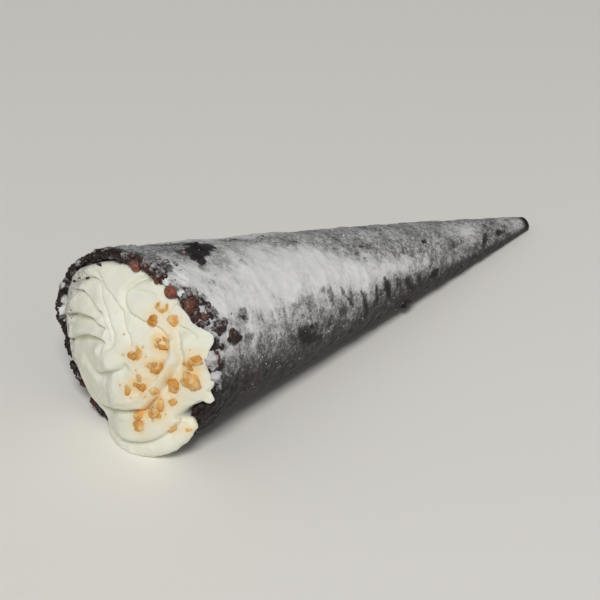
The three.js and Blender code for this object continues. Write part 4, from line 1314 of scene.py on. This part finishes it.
# ---------------------------------------------------------------------------
# Materials
# ---------------------------------------------------------------------------
class Nodes:
    def __init__(self, name):
        self.m = bpy.data.materials.new(name)
        self.m.use_nodes = True
        self.t = self.m.node_tree
        self.t.nodes.clear()
        self.out = self.t.nodes.new("ShaderNodeOutputMaterial")
        self.b = self.t.nodes.new("ShaderNodeBsdfPrincipled")
        self.link(self.b.outputs[0], self.out.inputs["Surface"])
        tc = self.t.nodes.new("ShaderNodeTexCoord")
        self.obj = tc.outputs["Object"]

    def link(self, a, b):
        self.t.links.new(a, b)

    def noise(self, scale, detail=3.0, rough=0.55, distortion=0.0, vector=None):
        n = self.t.nodes.new("ShaderNodeTexNoise")
        n.inputs["Scale"].default_value = scale
        n.inputs["Detail"].default_value = detail
        n.inputs["Roughness"].default_value = rough
        n.inputs["Distortion"].default_value = distortion
        self.link(vector or self.obj, n.inputs["Vector"])
        return n.outputs["Fac"]

    def voronoi(self, scale, feature="F1", vector=None):
        n = self.t.nodes.new("ShaderNodeTexVoronoi")
        n.feature = feature
        n.inputs["Scale"].default_value = scale
        self.link(vector or self.obj, n.inputs["Vector"])
        return n.outputs["Distance"]

    def math(self, op, a, b=None, c=None, clamp=False):
        n = self.t.nodes.new("ShaderNodeMath")
        n.operation = op
        n.use_clamp = clamp
        for i, v in enumerate((a, b, c)):
            if v is None:
                continue
            if isinstance(v, (int, float)):
                n.inputs[i].default_value = v
            else:
                self.link(v, n.inputs[i])
        return n.outputs[0]

    def ramp(self, fac, stops, smooth_=True):
        n = self.t.nodes.new("ShaderNodeValToRGB")
        n.color_ramp.interpolation = "EASE" if smooth_ else "LINEAR"
        els = n.color_ramp.elements
        while len(els) > 1:
            els.remove(els[-1])
        for i, (pos, col) in enumerate(stops):
            e = els[0] if i == 0 else els.new(pos)
            e.position = pos
            e.color = (*col, 1.0)
        self.link(fac, n.inputs["Fac"])
        return n.outputs["Color"]

    def mix(self, fac, a, b):
        n = self.t.nodes.new("ShaderNodeMix")
        n.data_type = "RGBA"
        if isinstance(fac, (int, float)):
            n.inputs[0].default_value = fac
        else:
            self.link(fac, n.inputs[0])
        for sock, v in ((n.inputs[6], a), (n.inputs[7], b)):
            if isinstance(v, tuple):
                sock.default_value = (*v, 1.0)
            else:
                self.link(v, sock)
        return n.outputs[2]

    def map_range(self, v, a, b, c=0.0, d=1.0, smooth_=True):
        n = self.t.nodes.new("ShaderNodeMapRange")
        n.interpolation_type = "SMOOTHSTEP" if smooth_ else "LINEAR"
        n.clamp = True
        self.link(v, n.inputs["Value"])
        for key, x in (("From Min", a), ("From Max", b), ("To Min", c), ("To Max", d)):
            n.inputs[key].default_value = x
        return n.outputs["Result"]

    def attribute(self, name):
        n = self.t.nodes.new("ShaderNodeAttribute")
        n.attribute_name = name
        return n.outputs["Fac"]

    def bump(self, height, strength, distance, normal=None):
        n = self.t.nodes.new("ShaderNodeBump")
        n.inputs["Strength"].default_value = strength
        n.inputs["Distance"].default_value = distance
        self.link(height, n.inputs["Height"])
        if normal is not None:
            self.link(normal, n.inputs["Normal"])
        return n.outputs["Normal"]

    def set(self, **kw):
        for k, v in kw.items():
            self.b.inputs[k.replace("_", " ")].default_value = v


def srgb(r, g, b):
    f = lambda c: (c / 255 / 12.92) if c / 255 <= 0.04045 else ((c / 255 + 0.055) / 1.055) ** 2.4
    return (f(r), f(g), f(b))


# whipped cream
mc = Nodes("whipped_cream")
tone = mc.noise(180, 3, 0.5)
col = mc.ramp(tone, [(0.3, srgb(238, 237, 219)), (0.7, srgb(243, 243, 230))])
col = mc.mix(mc.math("MULTIPLY", mc.attribute("stain"), 0.80), col, srgb(252, 214, 148))
spk = mc.map_range(mc.math("ADD", mc.noise(1500, 4, 0.65), mc.math("MULTIPLY", mc.noise(420, 3), 0.5)), 0.76, 0.96)
dust_and_edge_shade = mc.mix(spk, srgb(214, 213, 206), srgb(132, 128, 121))
line_ = mc.math("ABSOLUTE", mc.math("SUBTRACT", mc.noise(360, 3, 0.6, 0.5), 0.5))
crack = mc.math("MULTIPLY", mc.map_range(line_, 0.0, 0.030, 1.0, 0.0), mc.map_range(mc.noise(230, 2), 0.48, 0.60))
dust_and_edge_shade = mc.mix(mc.math("MULTIPLY", crack, 0.8), dust_and_edge_shade, srgb(84, 76, 72))
# painted shade: where the dust value runs from 0.9 to 1.6 the colour is drawn to a darker grey along the cream's far
# edge
dust_and_edge_shade = mc.mix(mc.map_range(mc.attribute("dust"), 0.9, 1.6), dust_and_edge_shade, srgb(192, 190, 181))
col = mc.mix(mc.math("MULTIPLY", mc.attribute("dust"), 0.95, clamp=True), col, dust_and_edge_shade)
mc.link(col, mc.b.inputs["Base Color"])
mc.link(mc.map_range(mc.noise(900, 3), 0.3, 0.7, 0.46, 0.60), mc.b.inputs["Roughness"])
mc.b.subsurface_method = "RANDOM_WALK"
mc.set(Subsurface_Weight=0.36, Subsurface_Radius=(1.0, 0.88, 0.62), Subsurface_Scale=0.0011, IOR=1.40)
mc.b.inputs["Specular IOR Level"].default_value = 0.35
hb = mc.math("ADD", mc.math("MULTIPLY", mc.noise(2600, 4, 0.6), 0.6), mc.math("MULTIPLY", mc.noise(700, 3, 0.5), 0.8))
mc.link(mc.bump(hb, 0.35, 0.00012), mc.b.inputs["Normal"])

# dark coating under a veil of sugar
mh = Nodes("sugared_coating")
cov = mh.attribute("sugar")
stretch = mh.t.nodes.new("ShaderNodeMapping")
stretch.inputs["Scale"].default_value = (1.0, 0.42, 0.42)
stretch.inputs["Rotation"].default_value = (0.0, -0.154, 0.0)
mh.link(mh.obj, stretch.inputs["Vector"])
f1 = mh.noise(1150, 5, 0.62)
f2 = mh.noise(2900, 3, 0.6)
f3 = mh.noise(430, 4, 0.55, 0.4)
f4 = mh.noise(1100, 3, 0.6, 0.3, stretch.outputs[0])
dev = mh.math("ADD", mh.math("MULTIPLY", mh.math("SUBTRACT", f1, 0.5), 1.5),
              mh.math("ADD", mh.math("MULTIPLY", mh.math("SUBTRACT", f2, 0.5), 1.3),
                      mh.math("ADD", mh.math("MULTIPLY", mh.math("SUBTRACT", f3, 0.5), 0.8),
                              mh.math("MULTIPLY", mh.math("SUBTRACT", f4, 0.5), 0.1))))
# the speckle shows most where the veil is thin, and not at all where nothing lies
room = mh.math("MULTIPLY", mh.map_range(cov, 0.0, 0.20, 0.14, 1.0, smooth_=False), mh.map_range(cov, 0.55, 1.0, 1.0, 0.40, smooth_=False))
raw = mh.math("ADD", cov, mh.math("MULTIPLY", dev, room))
sugar = mh.math("ADD", mh.math("MULTIPLY", cov, 0.42), mh.math("MULTIPLY", mh.map_range(raw, 0.02, 0.92), 0.60), clamp=True)
dark = mh.ramp(mh.noise(260, 4, 0.6), [(0.3, srgb(20, 16, 17)), (0.55, srgb(30, 24, 25)), (0.75, srgb(56, 38, 34))])
white = mh.ramp(mh.noise(500, 3), [(0.3, srgb(226, 226, 226)), (0.7, srgb(237, 236, 235))])
base = mh.mix(sugar, dark, white)
mh.link(base, mh.b.inputs["Base Color"])
mh.link(mh.map_range(sugar, 0.0, 0.5, 0.50, 0.92, smooth_=False), mh.b.inputs["Roughness"])
mh.set(IOR=1.42)
mh.b.inputs["Specular IOR Level"].default_value = 0.22
hh = mh.math("ADD", mh.math("MULTIPLY", sugar, 0.5),
             mh.math("ADD", mh.math("MULTIPLY", f2, 0.25), mh.math("MULTIPLY", mh.noise(900, 4, 0.6), 0.6)))
mh.link(mh.bump(hh, 0.5, 0.00020), mh.b.inputs["Normal"])


def nut_material(name, sugar_amount):
    m = Nodes(name)
    red = m.attribute("red")
    v = m.noise(900, 4, 0.6)
    dark_ = m.ramp(v, [(0.3, srgb(22, 17, 18)), (0.7, srgb(48, 34, 31))])
    brown = m.ramp(v, [(0.3, srgb(96, 52, 40)), (0.7, srgb(150, 92, 70))])
    base_ = m.mix(red, dark_, brown)
    # sugar lies on what faces up
    geo = m.t.nodes.new("ShaderNodeNewGeometry")
    sep = m.t.nodes.new("ShaderNodeSeparateXYZ")
    m.link(geo.outputs["Normal"], sep.inputs[0])
    up = m.map_range(sep.outputs["Z"], -0.2, 1.0, -0.35, 0.22, smooth_=False)
    nn = m.math("ADD", m.math("ADD", m.math("MULTIPLY", m.math("SUBTRACT", m.noise(1300, 4, 0.6), 0.5), 1.3),
                              m.math("MULTIPLY", m.math("SUBTRACT", m.noise(420, 2), 0.5), 1.2)), up)
    sg = m.map_range(m.math("ADD", nn, m.math("ADD", m.attribute("dust"), sugar_amount)), 0.0, 0.75, smooth_=False)
    sg = m.math("MULTIPLY", sg, m.map_range(red, 0.4, 1.0, 1.0, 0.06, smooth_=False))
    m.link(m.mix(sg, base_, srgb(206, 205, 206)), m.b.inputs["Base Color"])
    m.link(m.map_range(sg, 0.0, 0.6, 0.40, 0.9, smooth_=False), m.b.inputs["Roughness"])
    m.link(m.bump(m.math("ADD", m.noise(1600, 4, 0.6), m.math("MULTIPLY", sg, 0.6)), 0.5, 0.0002), m.b.inputs["Normal"])
    m.set(IOR=1.45)
    m.b.inputs["Specular IOR Level"].default_value = 0.35
    return m


mn = nut_material("coated_nuts", 0.04)
mk = nut_material("coating_crumbs", 0.06)

# nut brittle
mb = Nodes("nut_brittle")
tn = mb.attribute("tone")
nv = mb.noise(700, 4, 0.6, 0.6)
amber = mb.ramp(nv, [(0.3, srgb(226, 164, 82)), (0.5, srgb(236, 182, 106)), (0.7, srgb(244, 208, 146))])
deep = mb.ramp(nv, [(0.3, srgb(176, 116, 38)), (0.55, srgb(210, 148, 58)), (0.75, srgb(224, 172, 92))])
film = mb.map_range(mb.math("ADD", mb.noise(520, 3, 0.5), mb.math("MULTIPLY", mb.noise(1700, 3), 0.4)), 0.66, 0.86)
tint = mb.mix(mb.map_range(tn, -0.9, -0.2, 1.0, 0.0), mb.mix(tn, amber, deep), srgb(226, 206, 146))     # the finest bits are pale
mb.link(mb.mix(mb.math("MULTIPLY", film, 0.55), tint, srgb(244, 226, 182)), mb.b.inputs["Base Color"])
mb.b.subsurface_method = "RANDOM_WALK"
mb.set(Subsurface_Weight=0.50, Subsurface_Radius=(1.0, 0.82, 0.46), Subsurface_Scale=0.0007, IOR=1.45, Coat_Weight=0.06,
       Coat_Roughness=0.25)
mb.link(mb.map_range(mb.noise(1500, 3), 0.3, 0.7, 0.42, 0.62), mb.b.inputs["Roughness"])
mb.link(mb.bump(mb.noise(1900, 4, 0.6), 0.5, 0.00018), mb.b.inputs["Normal"])

# grains of sugar
mg = Nodes("icing_sugar")
mg.link(mg.ramp(mg.noise(900, 2), [(0.3, srgb(214, 216, 220)), (0.7, srgb(240, 240, 241))]), mg.b.inputs["Base Color"])
mg.set(Roughness=0.85, IOR=1.5)

for ob, mat, slot in ((cream, mc, "whipped_cream"), (horn, mh, "dark_coating"), (nuts, mn, "dark_coating"),
                      (crumbs, mk, "dark_coating"), (chips, mb, "whipped_cream"), (grains, mg, "dark_coating")):
    ob.data.materials.clear()
    ob.data.materials.append(mat.m)
    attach(ob, "root")
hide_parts("cream")
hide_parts("horn")

# ---------------------------------------------------------------------------
# Stage: pale floor, soft light
# ---------------------------------------------------------------------------
floor = mesh_object("floor", [(-3, -3, 0), (3, -3, 0), (3, 3, 0), (-3, 3, 0)], [[0, 1, 2, 3]], False)
mf = Nodes("floor")
mf.link(mf.ramp(mf.noise(3.0, 2), [(0.3, srgb(248, 245, 238)), (0.7, srgb(250, 247, 241))]), mf.b.inputs["Base Color"])
mf.set(Roughness=0.8)
floor.data.materials.append(mf.m)


def area(name, direction, dist, size, power, colour=(1, 1, 1)):
    d = np.array(direction, float)
    d /= np.linalg.norm(d)
    lamp = bpy.data.lights.new(name, "AREA")
    lamp.shape = "DISK"
    lamp.size = size
    lamp.energy = power
    lamp.color = colour
    ob = bpy.data.objects.new(name, lamp)
    bpy.context.scene.collection.objects.link(ob)
    c = place(np.array([-20, 0, 15.0]))
    ob.location = c + d * dist
    ob.rotation_euler = Vector(d).to_track_quat("Z", "Y").to_euler()
    return ob


area("key", (-0.51, -0.44, 0.74), 2.0, 0.62, 23.0, (1.0, 0.995, 0.98))
area("fill", (0.60, -0.74, 0.24), 1.4, 0.7, 1.5, (0.98, 0.99, 1.0))

world = bpy.data.worlds.new("world")
world.use_nodes = True
bg = world.node_tree.nodes["Background"]
bg.inputs["Color"].default_value = (0.98, 0.985, 1.0, 1)
bg.inputs["Strength"].default_value = 0.20
bpy.context.scene.world = world
bpy.context.scene.view_settings.view_transform = "Standard"
bpy.context.scene.view_settings.look = "None"
